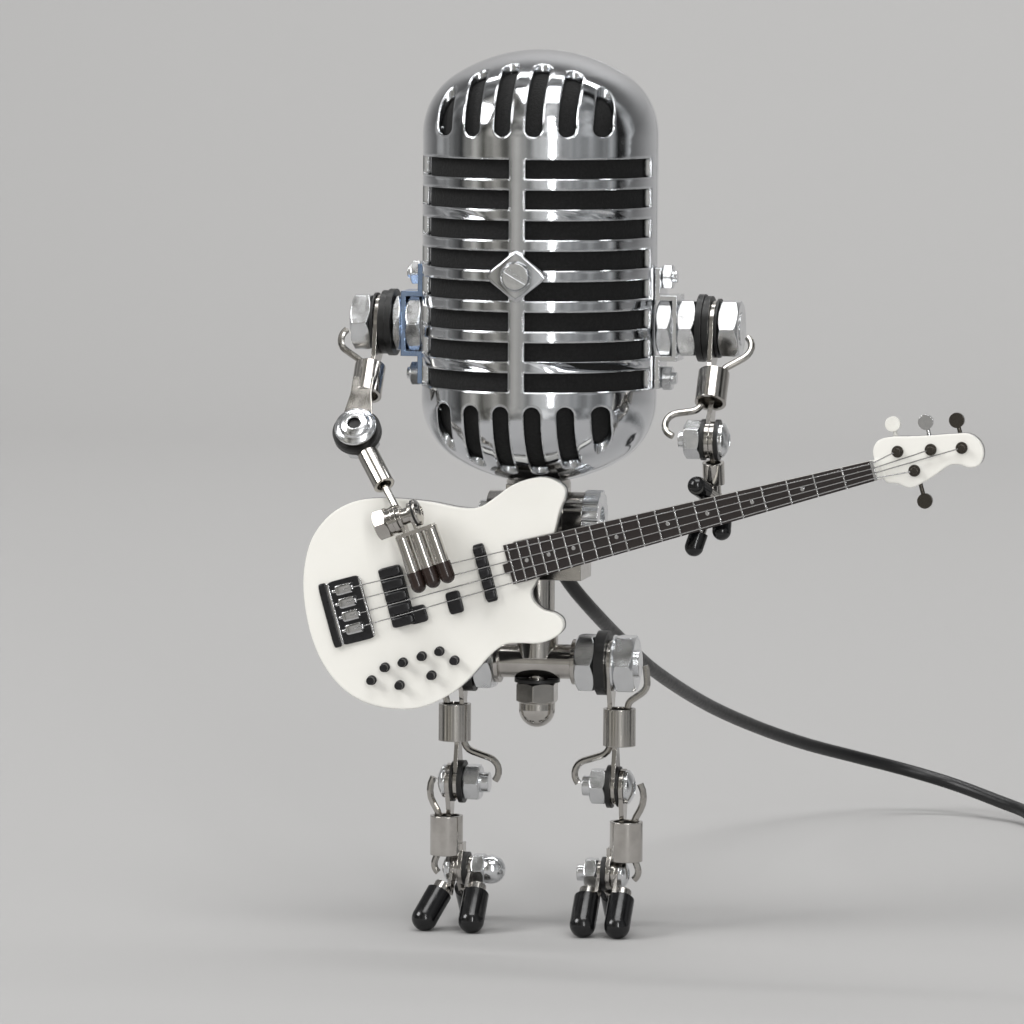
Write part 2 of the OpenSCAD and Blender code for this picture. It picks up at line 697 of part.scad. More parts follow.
module swivel_knob() color([0.7, 0.7, 0.72]) place() translate([0, 0, pivot_z]) {
    difference() {
        disc_x(cheek_out + gap, knob_t, knob_d / 2);
        disc_x(cheek_out + knob_t - 1.4, 3, 0.22 * knob_d);
        for (a = [0 : 30 : 330]) rotate([a, 0, 0]) translate([0, 0, knob_d / 2 + 0.5])
            disc_x(cheek_out - 1, knob_t + 2, 1);
    }
    disc_x(-cheek_out - 2.6, 2 * cheek_out + 2.8, pivot_r);
    nut_x(-cheek_out - 2.4 - gap, 2.4, 8, pivot_r + gap);
}

// ---------- Neck and hips ----------

module neck_pipe() color([0.72, 0.7, 0.66]) place() {
    difference() {
        translate([0, 0, pipe_foot]) cylinder(r = pipe_r, h = base_bottom + 4 - gap - pipe_foot);
        translate([0, 0, pipe_foot - 1]) cylinder(r = pipe_r - 1.2, h = far);
    }
    translate([0, 0, tee_socket_top + gap]) rotate([0, -90, 0])
        nut_x(0, 3.6, 11.5, pipe_r + gap);
}

module hip_tee() color([0.72, 0.7, 0.66]) place() translate([0, 0, hip_z]) difference() {
    union() {
        disc_x(-tee_end, tee_len, tee_r);
        for (x = [-tee_end, tee_end - 1.1]) disc_x(x, 1.1, tee_r + 1.3);
        translate([0, 0, 1]) cylinder(r = tee_socket_r, h = tee_socket_top - hip_z - 1);
        translate([0, 0, acorn_top - hip_z - acorn_depth])
            cylinder(r = acorn_stud_r, h = hip_z - acorn_top + acorn_depth);
    }
    translate([0, 0, pipe_foot - gap - hip_z]) cylinder(r = pipe_r + gap, h = 10);
    for (side = [0, 1]) on_side(side) disc_x(tee_end - 5, 6, stud_r + gap);
}

module acorn_nut() color([0.72, 0.7, 0.66]) place() translate([0, 0, acorn_top]) difference() {
    union() {
        rotate([0, 90, 0]) hex_x(0, acorn_hex_h, 2 * acorn_r * cos(30));
        translate([0, 0, -acorn_hex_h - 1.6]) cylinder(r = acorn_dome_r, h = 2);
        translate([0, 0, -acorn_hex_h - 1.6]) sphere(r = acorn_dome_r);
    }
    translate([0, 0, -acorn_depth - 0.2]) cylinder(r = acorn_stud_r + gap, h = acorn_depth + 1);
}

module hip_studs() color([0.8, 0.82, 0.85]) place() translate([0, 0, hip_z])
    for (side = [0, 1]) on_side(side) {
        disc_x(tee_end - 4.9, hip_end - tee_end + 4.9, stud_r);
        nut_x(hip_nut, big_nut_t, big_af, stud_r + gap);
        ring_x(hip_spacer, hip_spacer_t, hip_ring_r + 1.2, stud_r + gap);
        nut_x(hip_outer, big_nut_t, big_af, stud_r + gap);
    }

module hip_washers() color([0.08, 0.08, 0.08]) place() {
    translate([0, 0, hip_z]) for (side = [0, 1]) on_side(side)
        ring_x(hip_washer, hip_washer_t, hip_washer_r, stud_r + gap);
    translate([0, 0, acorn_top + gap]) difference() {
        cylinder(r = acorn_r + 0.2, h = gasket_t);
        translate([0, 0, -1]) cylinder(r = acorn_stud_r + gap, h = 3);
    }
}

// ---------- Legs ----------

module thigh_link(side) color([0.72, 0.7, 0.66]) place() on_side(side) {
    sleeve_z = hip_z - thigh_top - thigh_len;
    difference() {
        union() {
            translate([0, 0, hip_z]) lug(hip_lug, hip_ring_r, 4, thigh_top + mouth_depth + 0.5);
            translate([0, 0, knee_z]) rotate([180, 0, 0])
                lug(knee_upper, knee_ring_r, 3.6, sleeve_z - knee_z + mouth_depth + 0.5);
            sleeve(thigh_x, sleeve_z, thigh_d, thigh_len);
        }
        translate([0, 0, hip_z]) disc_x(hip_lug - 1, 4, stud_r + 0.07);
        translate([0, 0, knee_z]) disc_x(knee_upper - 1, 4, knee_r + gap);
    }
}

module thigh_wires(side) color([0.66, 0.62, 0.56]) place() on_side(side) {
    translate([thigh_x + 2, 0, hip_z - thigh_top - mouth_depth + 0.4])
        wire([[mouth_depth - 0.2, 0], [2.5, 55], [2.8, 0], [3.2, -60], [3, 0], [2.5, -20]]);
    translate([thigh_x - 2.27, 0, hip_z - thigh_top - thigh_len + mouth_depth - 0.4]) mirror([0, 0, 1])
        wire([[mouth_depth - 0.8, 0], [3.2, -72], [4.3, 0], [3.4, 115]]);
}

module knee_bolt(side) place() on_side(side) translate([0, 0, knee_z]) {
    color([0.8, 0.82, 0.85]) {
        disc_x(knee_end, knee_head - knee_end, knee_r);
        nut_x(knee_nut, knee_nut_t, knee_af, knee_r + gap);
        button_x(knee_head, knee_head_t, knee_ring_r - 0.3);
    }
    color([0.08, 0.08, 0.08]) {
        ring_x(knee_washer, knee_washer_t, knee_washer_r, knee_r + gap);
        ring_x(knee_mid, knee_mid_t, knee_washer_r - 0.3, knee_r + gap);
    }
}

module shin_link(side) color([0.72, 0.7, 0.66]) place() on_side(side) {
    sleeve_z = knee_z - shin_top - shin_len;
    difference() {
        union() {
            translate([0, 0, knee_z]) lug(knee_lower, knee_ring_r, 3.6, shin_top + mouth_depth + 0.5);
            translate([0, 0, ankle_z]) rotate([180, 0, 0])
                lug(ankle_lug, ankle_ring_r, 3.4, sleeve_z - ankle_z + mouth_depth + 0.5);
            sleeve(shin_x, sleeve_z, shin_d, shin_len);
        }
        translate([0, 0, knee_z]) disc_x(knee_lower - 1, 4, knee_r + 0.07);
        translate([0, 0, ankle_z]) disc_x(ankle_lug - 1, 4, ankle_r + 0.07);
    }
}

module shin_wires(side) color([0.66, 0.62, 0.56]) place() on_side(side) {
    translate([shin_x + 2, 0, knee_z - shin_top - mouth_depth + 0.4])
        wire([[mouth_depth - 0.7, 0], [3, 30], [1.8, 0], [6.5, -60]]);
    translate([shin_x + 2.3, 0, knee_z - shin_top - shin_len + mouth_depth - 0.4]) mirror([0, 0, 1])
        wire([[mouth_depth - 0.8, 0], [3, 22], [0.8, 0], [2.6, -75]]);
}

module ankle_bolt(side) place() on_side(side) translate([0, 0, ankle_z]) {
    color([0.8, 0.82, 0.85]) {
        if (side == 0) disc_x(ankle_end, ankle_head - ankle_end, ankle_r);
        if (side == 1) {
            disc_x(ankle_nut, ankle_head - ankle_nut, ankle_r);
            translate([ankle_nut - gap, 0, 0]) rotate([0, -90, 0]) intersection() {
                translate([0, 0, 1.2]) sphere(r = ankle_ring_r - 0.4);
                cylinder(r = ankle_ring_r, h = 2 * ankle_ring_r);
            }
        }
        nut_x(ankle_nut, ankle_nut_t, ankle_af, ankle_r + gap);
        button_x(ankle_head, ankle_head_t, ankle_ring_r - 0.5);
    }
    color([0.08, 0.08, 0.08]) ring_x(ankle_washer, ankle_washer_t, ankle_ring_r + 0.2, ankle_r + gap);
}

// Outward turn of the outer toe of each foot
toe_yaw = [0, 28];

// Draws along a toe from its start: heading -1 is forwards and +1 is backwards
module toe_at(x, heading, yaw) translate([x, 0, ankle_z]) rotate([-heading * (90 + toe_drop), 0, 0])
    translate([0, 0, barrel_start]) rotate([heading * (90 + toe_drop), 0, 0]) rotate([0, 0, yaw])
    rotate([-heading * (90 + toe_drop), 0, 0]) children();

module toe_lug(x, heading) difference() {
    translate([0, 0, ankle_z]) rotate([-heading * (90 + toe_drop) + 180, 0, 0]) {
        disc_x(x, toe_ring_t, toe_ring_r);
        translate([x, -1.9, -barrel_start - 1.6]) cube([toe_ring_t, 3.8, barrel_start + 1.6]);
    }
    translate([0, 0, ankle_z]) disc_x(x - 1, 3, ankle_r + gap);
}

function foot_toes(side) = [[ankle_inner, toe_inner_x, -1, 0], [ankle_outer, toe_outer_x, -1,
    toe_yaw[side]], [ankle_heel, heel_x, 1, 0]];

module toes(side) color([0.72, 0.7, 0.66]) place() on_side(side) for (t = foot_toes(side)) {
    toe_lug(t[0], t[2]);
    toe_at(t[1], t[2], t[3]) cylinder(r = barrel_r, h = toe_len - barrel_start - 0.5);
}

module toe_caps(side) color([0.08, 0.08, 0.08]) place() on_side(side) difference() {
    for (t = foot_toes(side)) toe_at(t[1], t[2], t[3]) translate([0, 0, cap_start - barrel_start])
        difference() {
            cap_solid(cap_r, toe_len - cap_start);
            cap_bore(barrel_r + gap, toe_len - cap_start);
        }
    translate([-far, -far, -2 * far]) cube(2 * far);
}

// ---------- Arms ----------

// Frame of an upper arm: the origin on the shoulder axis, the arm down -Z
module arm_frame() translate([0, shoulder_y, shoulder_z]) rotate([-arm_lean, 0, 0]) children();

// Frame of the left forearm: the origin on the elbow axis, which is Y, the forearm down -Z
module left_elbow_frame() arm_frame()
    translate([-arm_x(1) - left_out, 0, -upper_len - left_more]) children();

module left_forearm_frame() left_elbow_frame() rotate([0, -forearm_swing, 0]) children();

// Frame of the left hand: the wrist bolt along X, the fingers down -Z
module left_hand_frame() translate(left_wrist) rotate([0, -wrist_tilt, 0]) children();

module upper_arm_right() color([0.72, 0.7, 0.66]) place() arm_frame() difference() {
    union() {
        lug(shoulder_lug(0), shoulder_ring_r, 5, upper_top + mouth_depth + 0.5);
        sleeve(arm_x(0), -upper_top - upper_sleeve_len, upper_d, upper_sleeve_len);
        translate([0, 0, -upper_len]) rotate([180, 0, 0])
            lug(elbow_upper, elbow_ring_r, 3.6, elbow_tongue);
    }
    disc_x(shoulder_lug(0) - 1, 4, shoulder_r + 0.07);
    translate([0, 0, -upper_len]) disc_x(elbow_upper - 1, 4, elbow_r + gap);
}

module upper_arm_left() color([0.72, 0.7, 0.66]) place() arm_frame() difference() {
    union() {
        mirror([1, 0, 0]) {
            lug(shoulder_lug(1), shoulder_ring_r, 5, upper_top + mouth_depth + 0.5);
            sleeve(arm_x(1), -upper_top - upper_sleeve_len, upper_d, upper_sleeve_len);
        }
        translate([-arm_x(1) - left_out, 0, -upper_len - left_more]) rotate([180, 0, 90])
            lug(left_upper, elbow_ring_r + 0.2, 5, elbow_tongue + left_more);
    }
    disc_x(-shoulder_lug(1) - lug_t - 1, 4, shoulder_r + 0.07);
    translate([-arm_x(1) - left_out, 0, -upper_len - left_more]) rotate([0, 0, 90])
        disc_x(-far / 8, far / 4, elbow_r + gap);
}

module shoulder_wire(side) on_side(side)
    translate([arm_x(side) + 2, 0, -upper_top - mouth_depth + 0.4])
    wire([[mouth_depth - 0.6, 0], [2.5, 55], [4.4, 0], [3.8, -100]]);

module arm_wires_right() color([0.66, 0.62, 0.56]) place() arm_frame() {
    shoulder_wire(0);
    translate([arm_x(0) - 2.04, 0, -upper_top - upper_sleeve_len + mouth_depth - 0.4]) mirror([0, 0, 1])
        wire([[mouth_depth - 0.5, 0], [2.6, -80], [3.4, 0], [3.3, 150]]);
}

module arm_wires_left() color([0.66, 0.62, 0.56]) place() arm_frame() shoulder_wire(1);

module elbow_bolt_right() place() arm_frame() translate([0, 0, -upper_len]) {
    washer_x = elbow_upper - elbow_washer_t - gap;
    nut_in = washer_x - elbow_nut_t - gap;
    color([0.8, 0.82, 0.85]) {
        disc_x(nut_in - 1.5, elbow_lower + lug_t + 1.2 - nut_in + 1.5, elbow_r);
        nut_x(nut_in, elbow_nut_t, elbow_af, elbow_r + gap);
        button_x(elbow_lower + lug_t + 1.1, elbow_head_t, elbow_head_r);
    }
    color([0.08, 0.08, 0.08]) {
        ring_x(washer_x, elbow_washer_t, elbow_washer_r, elbow_r + gap);
        ring_x(elbow_lower + lug_t + 0.15, 0.9, elbow_washer_r, elbow_r + gap);
    }
}

// The left elbow's bolt points forwards, so its X axis is turned to -Y
module elbow_bolt_left() place() left_elbow_frame() rotate([0, 0, -90]) {
    head_x = -left_upper + gap;
    nut_end = left_lug - gap;
    color([0.8, 0.82, 0.85]) {
        disc_x(nut_end - elbow_nut_t - 0.6, head_x - nut_end + elbow_nut_t + 0.6, elbow_r);
        button_x(head_x, elbow_head_t, elbow_head_r + 0.4);
        nut_x(nut_end - elbow_nut_t - 0.05, elbow_nut_t, elbow_af, elbow_r + gap);
    }
    color([0.08, 0.08, 0.08])
        ring_x(-left_lug + gap, left_washer_t, left_washer_r, elbow_r + gap);
}

module forearm_right() color([0.72, 0.7, 0.66]) place() translate([0, elbow_y, elbow_z])
    rotate([right_bend, 0, 0]) difference() {
        union() {
            lug(elbow_lower, elbow_ring_r, 3, 8);
            sleeve(right_sleeve_x, -right_sleeve_end, forearm_d, 5.2);
        }
        disc_x(elbow_lower - 1, 4, elbow_r + 0.07);
    }

// Draws each finger of the right hand from its root along +Z; $reach is the distance to its tip
module right_hand() translate(right_wrist) for (f = right_fingers) {
    $reach = norm(f[1] - f[0]);
    toward(f[0], f[1]) children();
}

module hand_right() color([0.72, 0.7, 0.66]) place() {
    translate([right_sleeve_x, elbow_y, elbow_z]) rotate([right_bend, 0, 0]) translate([0, 0, -right_len])
        cylinder(r = forearm_d / 2 - sleeve_wall - 0.1,
            h = right_len - right_sleeve_end + mouth_depth - 0.2);
    translate(right_wrist) sphere(r = finger_r + 0.4);
    right_hand() {
        sphere(r = finger_r);
        cylinder(r = finger_r, h = $reach - 0.1);
    }
}

module finger_caps_right() color([0.08, 0.08, 0.08]) place() right_hand()
    translate([0, 0, $reach - right_cap_len]) difference() {
        cap_solid(right_cap_r, right_cap_len);
        cap_bore(finger_r + gap, right_cap_len);
    }

module forearm_left() place() {
    color([0.72, 0.7, 0.66]) left_forearm_frame() difference() {
        union() {
            rotate([0, 0, 90]) lug(left_lug, elbow_ring_r + 0.3, 3.4, 8.5);
            sleeve(0, -left_sleeve_end, forearm_d, left_sleeve_end - 6);
            translate([0, 0, wrist_tail_start - forearm_len])
                cylinder(r = wrist_tail_r, h = forearm_len - wrist_tail_start - tail_top);
        }
        rotate([0, 0, 90]) disc_x(-far / 8, far / 4, elbow_r + 0.07);
    }
    left_hand_frame() {
        color([0.72, 0.7, 0.66]) ring_x(wrist_lug, lug_t, 3.4, wrist_r + gap);
        color([0.8, 0.82, 0.85]) {
            disc_x(wrist_nut - 0.4, wrist_head - wrist_nut + 0.4, wrist_r);
            nut_x(wrist_nut, wrist_nut_t, wrist_af, wrist_r + gap);
            button_x(wrist_head, 1.5, 3.3);
        }
        color([0.08, 0.08, 0.08]) {
            ring_x(wrist_nut + wrist_nut_t + gap, wrist_washer_t, 3.2, wrist_r + gap);
            ring_x(wrist_head - 0.55, 0.5, 3.2, wrist_r + gap);
        }
    }
}

// Draws each finger of the left hand from the wrist's axis down
module left_fingers() for (i = [0 : 2]) translate([first_finger + i * finger_pitch, 0, 0]) mirror([0, 0, 1])
    children();

module hand_left() color([0.72, 0.7, 0.66]) place() left_hand_frame() {
    difference() {
        union() {
            for (x = [yoke_in, yoke_out]) {
                disc_x(x, yoke_t, yoke_r);
                translate([x, -finger_r, -yoke_drop - yoke_t / 2]) cube([yoke_t, finger_d, yoke_drop]);
            }
            translate([first_finger - 1, -finger_r, -yoke_drop - yoke_t])
                cube([2 * finger_pitch + 2, finger_d, yoke_t]);
        }
        disc_x(-2, 8, wrist_r + 0.07);
    }
    left_fingers() translate([0, 0, yoke_drop + yoke_t / 2])
        cylinder(r = finger_r, h = finger_end - 0.1 - yoke_drop - yoke_t / 2);
}

module finger_caps_left() color([0.08, 0.08, 0.08]) place() left_hand_frame() difference() {
    left_fingers() translate([0, 0, finger_end - finger_cap_len]) cap_solid(finger_cap_r, finger_cap_len);
    left_fingers() translate([0, 0, finger_end - finger_cap_len]) cap_bore(finger_r + gap, finger_cap_len);
}

// ---------- Guitar ----------

module guitar_frame() place() translate([guitar_x, -guitar_y, guitar_z]) rotate([90, 0, 0])
    rotate([0, 0, guitar_angle]) children();

// Half the width of the fretboard at u
function half_w(u) = board_w / 2 - (board_w - nut_w) / 2 * u / board_len;
// Distance along the neck of fret k
function fret_u(k) = nut_u - scale_len * (1 - pow(2, -k / 12));
// Place of string i across the neck at u
function string_v(i, u) = (i - (strings_n - 1) / 2) * (1.15 + 2.1 * (nut_u - u) / scale_len)
    - 0.005 * (nut_u - u);

module neck_2d(extra) polygon([[pocket_end - extra, -half_w(pocket_end) - extra],
    [nut_u + neck_run, -half_w(board_len) - extra], [nut_u + neck_run, half_w(board_len) + extra],
    [pocket_end - extra, half_w(pocket_end) + extra]]);

module neck_outline() {
    neck_2d(0);
    translate([nut_u, 0]) polygon(outline(head_pts, 4));
}

// Black layer behind the body, and the one behind the neck and its head
module guitar_back() color([0.06, 0.06, 0.06]) guitar_frame() {
    linear_extrude(back_t) polygon(outline(body_pts, 4));
    translate([0, 0, neck_w0 - back_t]) linear_extrude(back_t - gap) neck_outline();
}

module guitar_body() color([0.95, 0.94, 0.9]) guitar_frame() difference() {
    translate([0, 0, back_t]) linear_extrude(body_t) polygon(outline(body_pts, 4));
    linear_extrude(far) neck_2d(heel_clear);
}

module guitar_neck() color([0.95, 0.94, 0.9]) guitar_frame() translate([0, 0, neck_w0])
    linear_extrude(neck_t) neck_outline();

module fretboard() color([0.16, 0.1, 0.08]) guitar_frame() translate([0, 0, body_w1])
    linear_extrude(board_t) {
        polygon([[0, -half_w(0)], [board_len, -half_w(board_len)], [board_len, half_w(board_len)],
            [0, half_w(0)]]);
        translate([-1.3, -2]) square([1.4, 2.4]);
    }

module frets() color([0.8, 0.8, 0.8]) guitar_frame() translate([0, 0, board_w1]) {
    for (k = [1 : frets_n]) translate([fret_u(k) - fret_l / 2, -half_w(fret_u(k)), 0])
        cube([fret_l, 2 * half_w(fret_u(k)), fret_h]);
    translate([board_len, -half_w(board_len), -board_t]) cube([0.8, nut_w, board_t + 0.3]);
    for (k = [3, 5, 7, 9, 12, 15, 17, 19]) translate([(fret_u(k) + fret_u(k - 1)) / 2, 0, 0])
        cylinder(r = 0.5, h = 0.06);
}

module strings() color([0.75, 0.75, 0.75]) guitar_frame() for (i = [0 : strings_n - 1]) {
    nut_p = [nut_u, string_v(i, nut_u), string_w];
    post = posts[strings_n - 1 - i];
    tube([[saddle_u, string_v(i, saddle_u), string_w], nut_p, [post[0] - 0.9, post[1], body_w1 + 0.9]],
        string_d / 2, 8);
}

module bridge() color([0.5, 0.5, 0.52]) guitar_frame() translate([0, 0, body_w1]) {
    translate([bridge_u, bridge_v, 0]) cube(bridge_size);
    translate([bridge_u, bridge_v, bridge_size[2]]) cube(bridge_wall);
    for (i = [0 : strings_n - 1])
        translate([saddle_u - saddle_size[0] / 2, string_v(i, saddle_u) - saddle_size[1] / 2,
            bridge_size[2]])
        cube([saddle_size[0], saddle_size[1],
            string_w - body_w1 - bridge_size[2] - string_d / 2 - gap]);
}

// Pickup with a block on each side of every string
module pickup(place, size) translate([place[0] - size[0] / 2, 0, body_w1]) {
    step = string_v(1, place[0]) - string_v(0, place[0]);
    translate([0, place[1] - size[1] / 2, 0]) cube([size[0], size[1], pickup_base_t]);
    for (i = [0 : strings_n])
        translate([size[0] * 0.08, string_v(0, place[0]) + (i - 0.86) * step, pickup_base_t])
        cube([size[0] * 0.84, 0.72 * step, string_w + 0.1 - body_w1 - pickup_base_t]);
}

module low_block(block, t) translate([block[0][0], block[0][1], body_w1])
    cube([block[1][0], block[1][1], t]);

module pickups() color([0.07, 0.07, 0.07]) guitar_frame() {
    pickup(pickup_rear[0], pickup_rear[1]);
    pickup(pickup_front[0], pickup_front[1]);
    low_block(pickup_lip, pickup_base_t);
    low_block(thumb_rest, 1);
}

module control_knobs() color([0.07, 0.07, 0.07]) guitar_frame() for (p = knobs)
    translate([p[0], p[1], body_w1]) {
        cylinder(r = 1.15, h = 0.7);
        cylinder(r = 0.95, h = 2.4);
    }

module tuners() color([0.6, 0.6, 0.6]) guitar_frame() for (p = posts) {
    reach = p[2] < 0 ? low_key_reach : key_reach;
    translate([p[0], p[1], body_w1]) {
        cylinder(r = 1.4, h = 0.3);
        cylinder(r = 0.8, h = 1.7);
    }
    translate([p[0], p[1], key_w - 0.6]) cylinder(r = 1.6, h = 1.2);
    rod([p[0], p[1], key_w], [p[0], p[1] + p[2] * reach, key_w], 0.5);
    translate([p[0], p[1] + p[2] * reach, key_w - 0.7]) cylinder(r = key_r, h = 1.3);
}

// ---------- Lead ----------

route_line = [for (p = smooth_line(cord_route, 2)) [p[0], p[1], max(p[2], cord_r)]];

// Corners of ring i of a tube along the line
function tube_ring(line, i, r, sides, up) = let (a = line[max(i - 1, 0)],
    b = line[min(i + 1, len(line) - 1)], t = (b - a) / norm(b - a),
    s = cross(t, up) / norm(cross(t, up)), n = cross(s, t))
    [for (k = [0 : sides - 1]) line[i] + r * (cos(360 * k / sides) * s + sin(360 * k / sides) * n)];

module tube(line, r, sides, up = [0, 0, 1]) {
    m = len(line);
    points = [for (i = [0 : m - 1]) each tube_ring(line, i, r, sides, up)];
    walls = [for (i = [0 : m - 2]) for (k = [0 : sides - 1]) let (a = i * sides + k,
        b = i * sides + (k + 1) % sides) [a, b, b + sides, a + sides]];
    ends = [[for (k = [sides - 1 : -1 : 0]) k], [for (k = [0 : sides - 1]) (m - 1) * sides + k]];
    polyhedron(points, concat(walls, ends));
}

module cord() color([0.05, 0.05, 0.05]) place() tube(route_line, cord_r, 8);

module cord_coil() color([0.05, 0.05, 0.05]) place() translate([coil_x, coil_y, 0]) rotate_extrude()
    translate([coil_out - coil_turns * cord_d, 0])
    square([coil_turns * cord_d, coil_layers * cord_d]);

module strain_relief() color([0.05, 0.05, 0.05]) place()
    translate([0, base_y, cord_route[0][2]]) rotate([-90, 0, 0])
    cylinder(r1 = cord_r + 1.2, r2 = cord_r + 0.2, h = cord_route[0][1] - base_y);

module usb_plug() place() translate([plug_x, plug_y, 0]) {
    color([0.05, 0.05, 0.05]) cube(plug_size);
    color([0.75, 0.75, 0.78]) translate([(plug_size[0] - plug_shell[0]) / 2, plug_size[1],
        (plug_size[2] - plug_shell[2]) / 2]) difference() {
        cube(plug_shell);
        translate([0.4, 3, 0.4]) cube(plug_shell - [0.8, 0, 0.8]);
    }
}

front_shell();
rear_shell();
grille_liner();
shell_fasteners();
shoulder_brackets();
shoulder_bolts();
shoulder_washers();
swivel_ear();
led_bulb();
bulb_holder();
dimmer_board();
neck_pipe();
swivel_base();
swivel_knob();
hip_tee();
acorn_nut();
hip_studs();
hip_washers();
thigh_link(0);  // thigh_link_right
thigh_link(1);  // thigh_link_left
thigh_wires(0);  // thigh_wires_right
thigh_wires(1);  // thigh_wires_left
knee_bolt(0);  // knee_bolt_right
knee_bolt(1);  // knee_bolt_left
shin_link(0);  // shin_link_right
shin_link(1);  // shin_link_left
shin_wires(0);  // shin_wires_right
shin_wires(1);  // shin_wires_left
ankle_bolt(0);  // ankle_bolt_right
ankle_bolt(1);  // ankle_bolt_left
toes(0);  // toes_right
toes(1);  // toes_left
toe_caps(0);  // toe_caps_right
toe_caps(1);  // toe_caps_left
upper_arm_right();
upper_arm_left();
arm_wires_right();
arm_wires_left();
elbow_bolt_right();
elbow_bolt_left();
forearm_right();
forearm_left();
hand_right();
hand_left();
finger_caps_right();
finger_caps_left();
guitar_body();
guitar_back();
guitar_neck();
fretboard();
frets();
strings();
bridge();
pickups();
control_knobs();
tuners();
cord();
cord_coil();
strain_relief();
usb_plug();
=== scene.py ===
import math

import bmesh
import bpy
import numpy as np
from mathutils import Matrix, Vector


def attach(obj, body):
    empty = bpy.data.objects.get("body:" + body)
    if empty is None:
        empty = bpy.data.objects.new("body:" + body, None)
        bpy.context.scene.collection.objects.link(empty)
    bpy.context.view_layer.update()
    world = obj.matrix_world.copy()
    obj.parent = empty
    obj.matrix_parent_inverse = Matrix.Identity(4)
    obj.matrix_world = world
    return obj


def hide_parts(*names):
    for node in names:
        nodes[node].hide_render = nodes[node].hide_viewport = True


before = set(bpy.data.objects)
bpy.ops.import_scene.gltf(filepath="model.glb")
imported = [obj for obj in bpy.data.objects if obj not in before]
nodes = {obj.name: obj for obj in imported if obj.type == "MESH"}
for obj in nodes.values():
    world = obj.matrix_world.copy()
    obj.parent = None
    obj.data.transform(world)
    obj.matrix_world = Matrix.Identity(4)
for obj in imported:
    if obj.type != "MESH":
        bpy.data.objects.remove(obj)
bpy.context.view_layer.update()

MM = 0.001
# The robot's own axis in the frame, in millimetres
AXIS = np.array([-28.72, 1.96, 0.0])


def place(points):
    """Millimetres about the robot's axis to metres in the frame."""
    return (np.asarray(points, float) + AXIS) * MM


def add_object(name, data):
    """An object at the origin, in the scene."""
    made = bpy.data.objects.new(name, data)
    bpy.context.collection.objects.link(made)
    return made


# ---------- Camera ----------

# Millimetres and turns about the robot's axis: the bearing is its way round from the front
CAMERA_DISTANCE = 1500.0
CAMERA_HEIGHT = 240.71
CAMERA_BEARING = math.radians(11.359)
CAMERA_YAW = math.radians(0.243)
CAMERA_PITCH = math.radians(5.308)
CAMERA_ROLL = math.radians(0.379)
FOCAL_PIXELS = 6247.6
IMAGE_PIXELS = 1024
SENSOR_MM = 36.0
CLIP_NEAR, CLIP_FAR = 0.05, 20.0


def make_camera():
    """A long lens at its bearing and height, turned by yaw, tipped down by pitch and rolled about
    its line of sight."""
    eye = np.array([math.sin(CAMERA_BEARING) * CAMERA_DISTANCE,
                    -math.cos(CAMERA_BEARING) * CAMERA_DISTANCE, CAMERA_HEIGHT])
    heading = CAMERA_BEARING + CAMERA_YAW
    forward = Vector((-math.sin(heading) * math.cos(CAMERA_PITCH),
                      math.cos(heading) * math.cos(CAMERA_PITCH), -math.sin(CAMERA_PITCH)))
    right = Vector((math.cos(heading), math.sin(heading), 0.0))
    up = right.cross(forward)
    rolled_right = right * math.cos(CAMERA_ROLL) + up * math.sin(CAMERA_ROLL)
    rolled_up = up * math.cos(CAMERA_ROLL) - right * math.sin(CAMERA_ROLL)
    data = bpy.data.cameras.new("camera")
    data.sensor_width = SENSOR_MM
    data.lens = FOCAL_PIXELS * SENSOR_MM / IMAGE_PIXELS
    data.clip_start, data.clip_end = CLIP_NEAR, CLIP_FAR
    camera = add_object("camera", data)
    axes = Matrix((rolled_right, rolled_up, -forward)).transposed()
    camera.matrix_world = Matrix.Translation(Vector(place(eye))) @ axes.to_4x4()
    bpy.context.scene.camera = camera


make_camera()

# ---------- Meshes ----------

# Edges that turn by more than this stay sharp
SHARP_TURN = math.radians(40.0)
# Turns from the rim of a cord's rounded end in towards its pole, and the end's depth as a share of
# the radius
END_TURNS = np.radians([90, 60, 30])
END_DEPTH = 0.5


def grid_faces(rows, columns, start=0, closed=False):
    """Quads of a grid of points, row by row; closed joins the last column to the first."""
    i, j = np.meshgrid(np.arange(rows - 1), np.arange(columns if closed else columns - 1),
                       indexing="ij")
    k = (j + 1) % columns
    quads = [i * columns + j, i * columns + k, (i + 1) * columns + k, (i + 1) * columns + j]
    return start + np.stack(quads, axis=-1).reshape(-1, 4)


def piece(name, grids, body, materials, replaces=(), merge=1e-6):
    """One object from grids of points in robot millimetres. Each grid comes with a flag that closes
    its columns, and may come with the number of its material. Points nearer than merge, in metres,
    become one, which closes seams and poles."""
    verts, faces, kinds, start = [], [], [], 0
    for points, closed, *kind in grids:
        rows, columns = points.shape[:2]
        quads = grid_faces(rows, columns, start, closed)
        verts.append(place(points.reshape(-1, 3)))
        faces.append(quads)
        kinds.append(np.full(len(quads), kind[0] if kind else 0))
        start += rows * columns
    mesh = bpy.data.meshes.new(name)
    mesh.from_pydata(np.concatenate(verts), [], np.concatenate(faces))
    mesh.polygons.foreach_set("material_index", np.concatenate(kinds).astype(np.int32))
    work = bmesh.new()
    work.from_mesh(mesh)
    bmesh.ops.remove_doubles(work, verts=work.verts, dist=merge)
    bmesh.ops.dissolve_degenerate(work, edges=work.edges, dist=merge)
    bmesh.ops.recalc_face_normals(work, faces=work.faces)
    work.to_mesh(mesh)
    work.free()
    mesh.shade_smooth()
    mesh.set_sharp_from_angle(angle=SHARP_TURN)
    made = add_object(name, mesh)
    for material in materials:
        mesh.materials.append(material)
    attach(made, body)
    if replaces:
        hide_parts(*replaces)
    return made


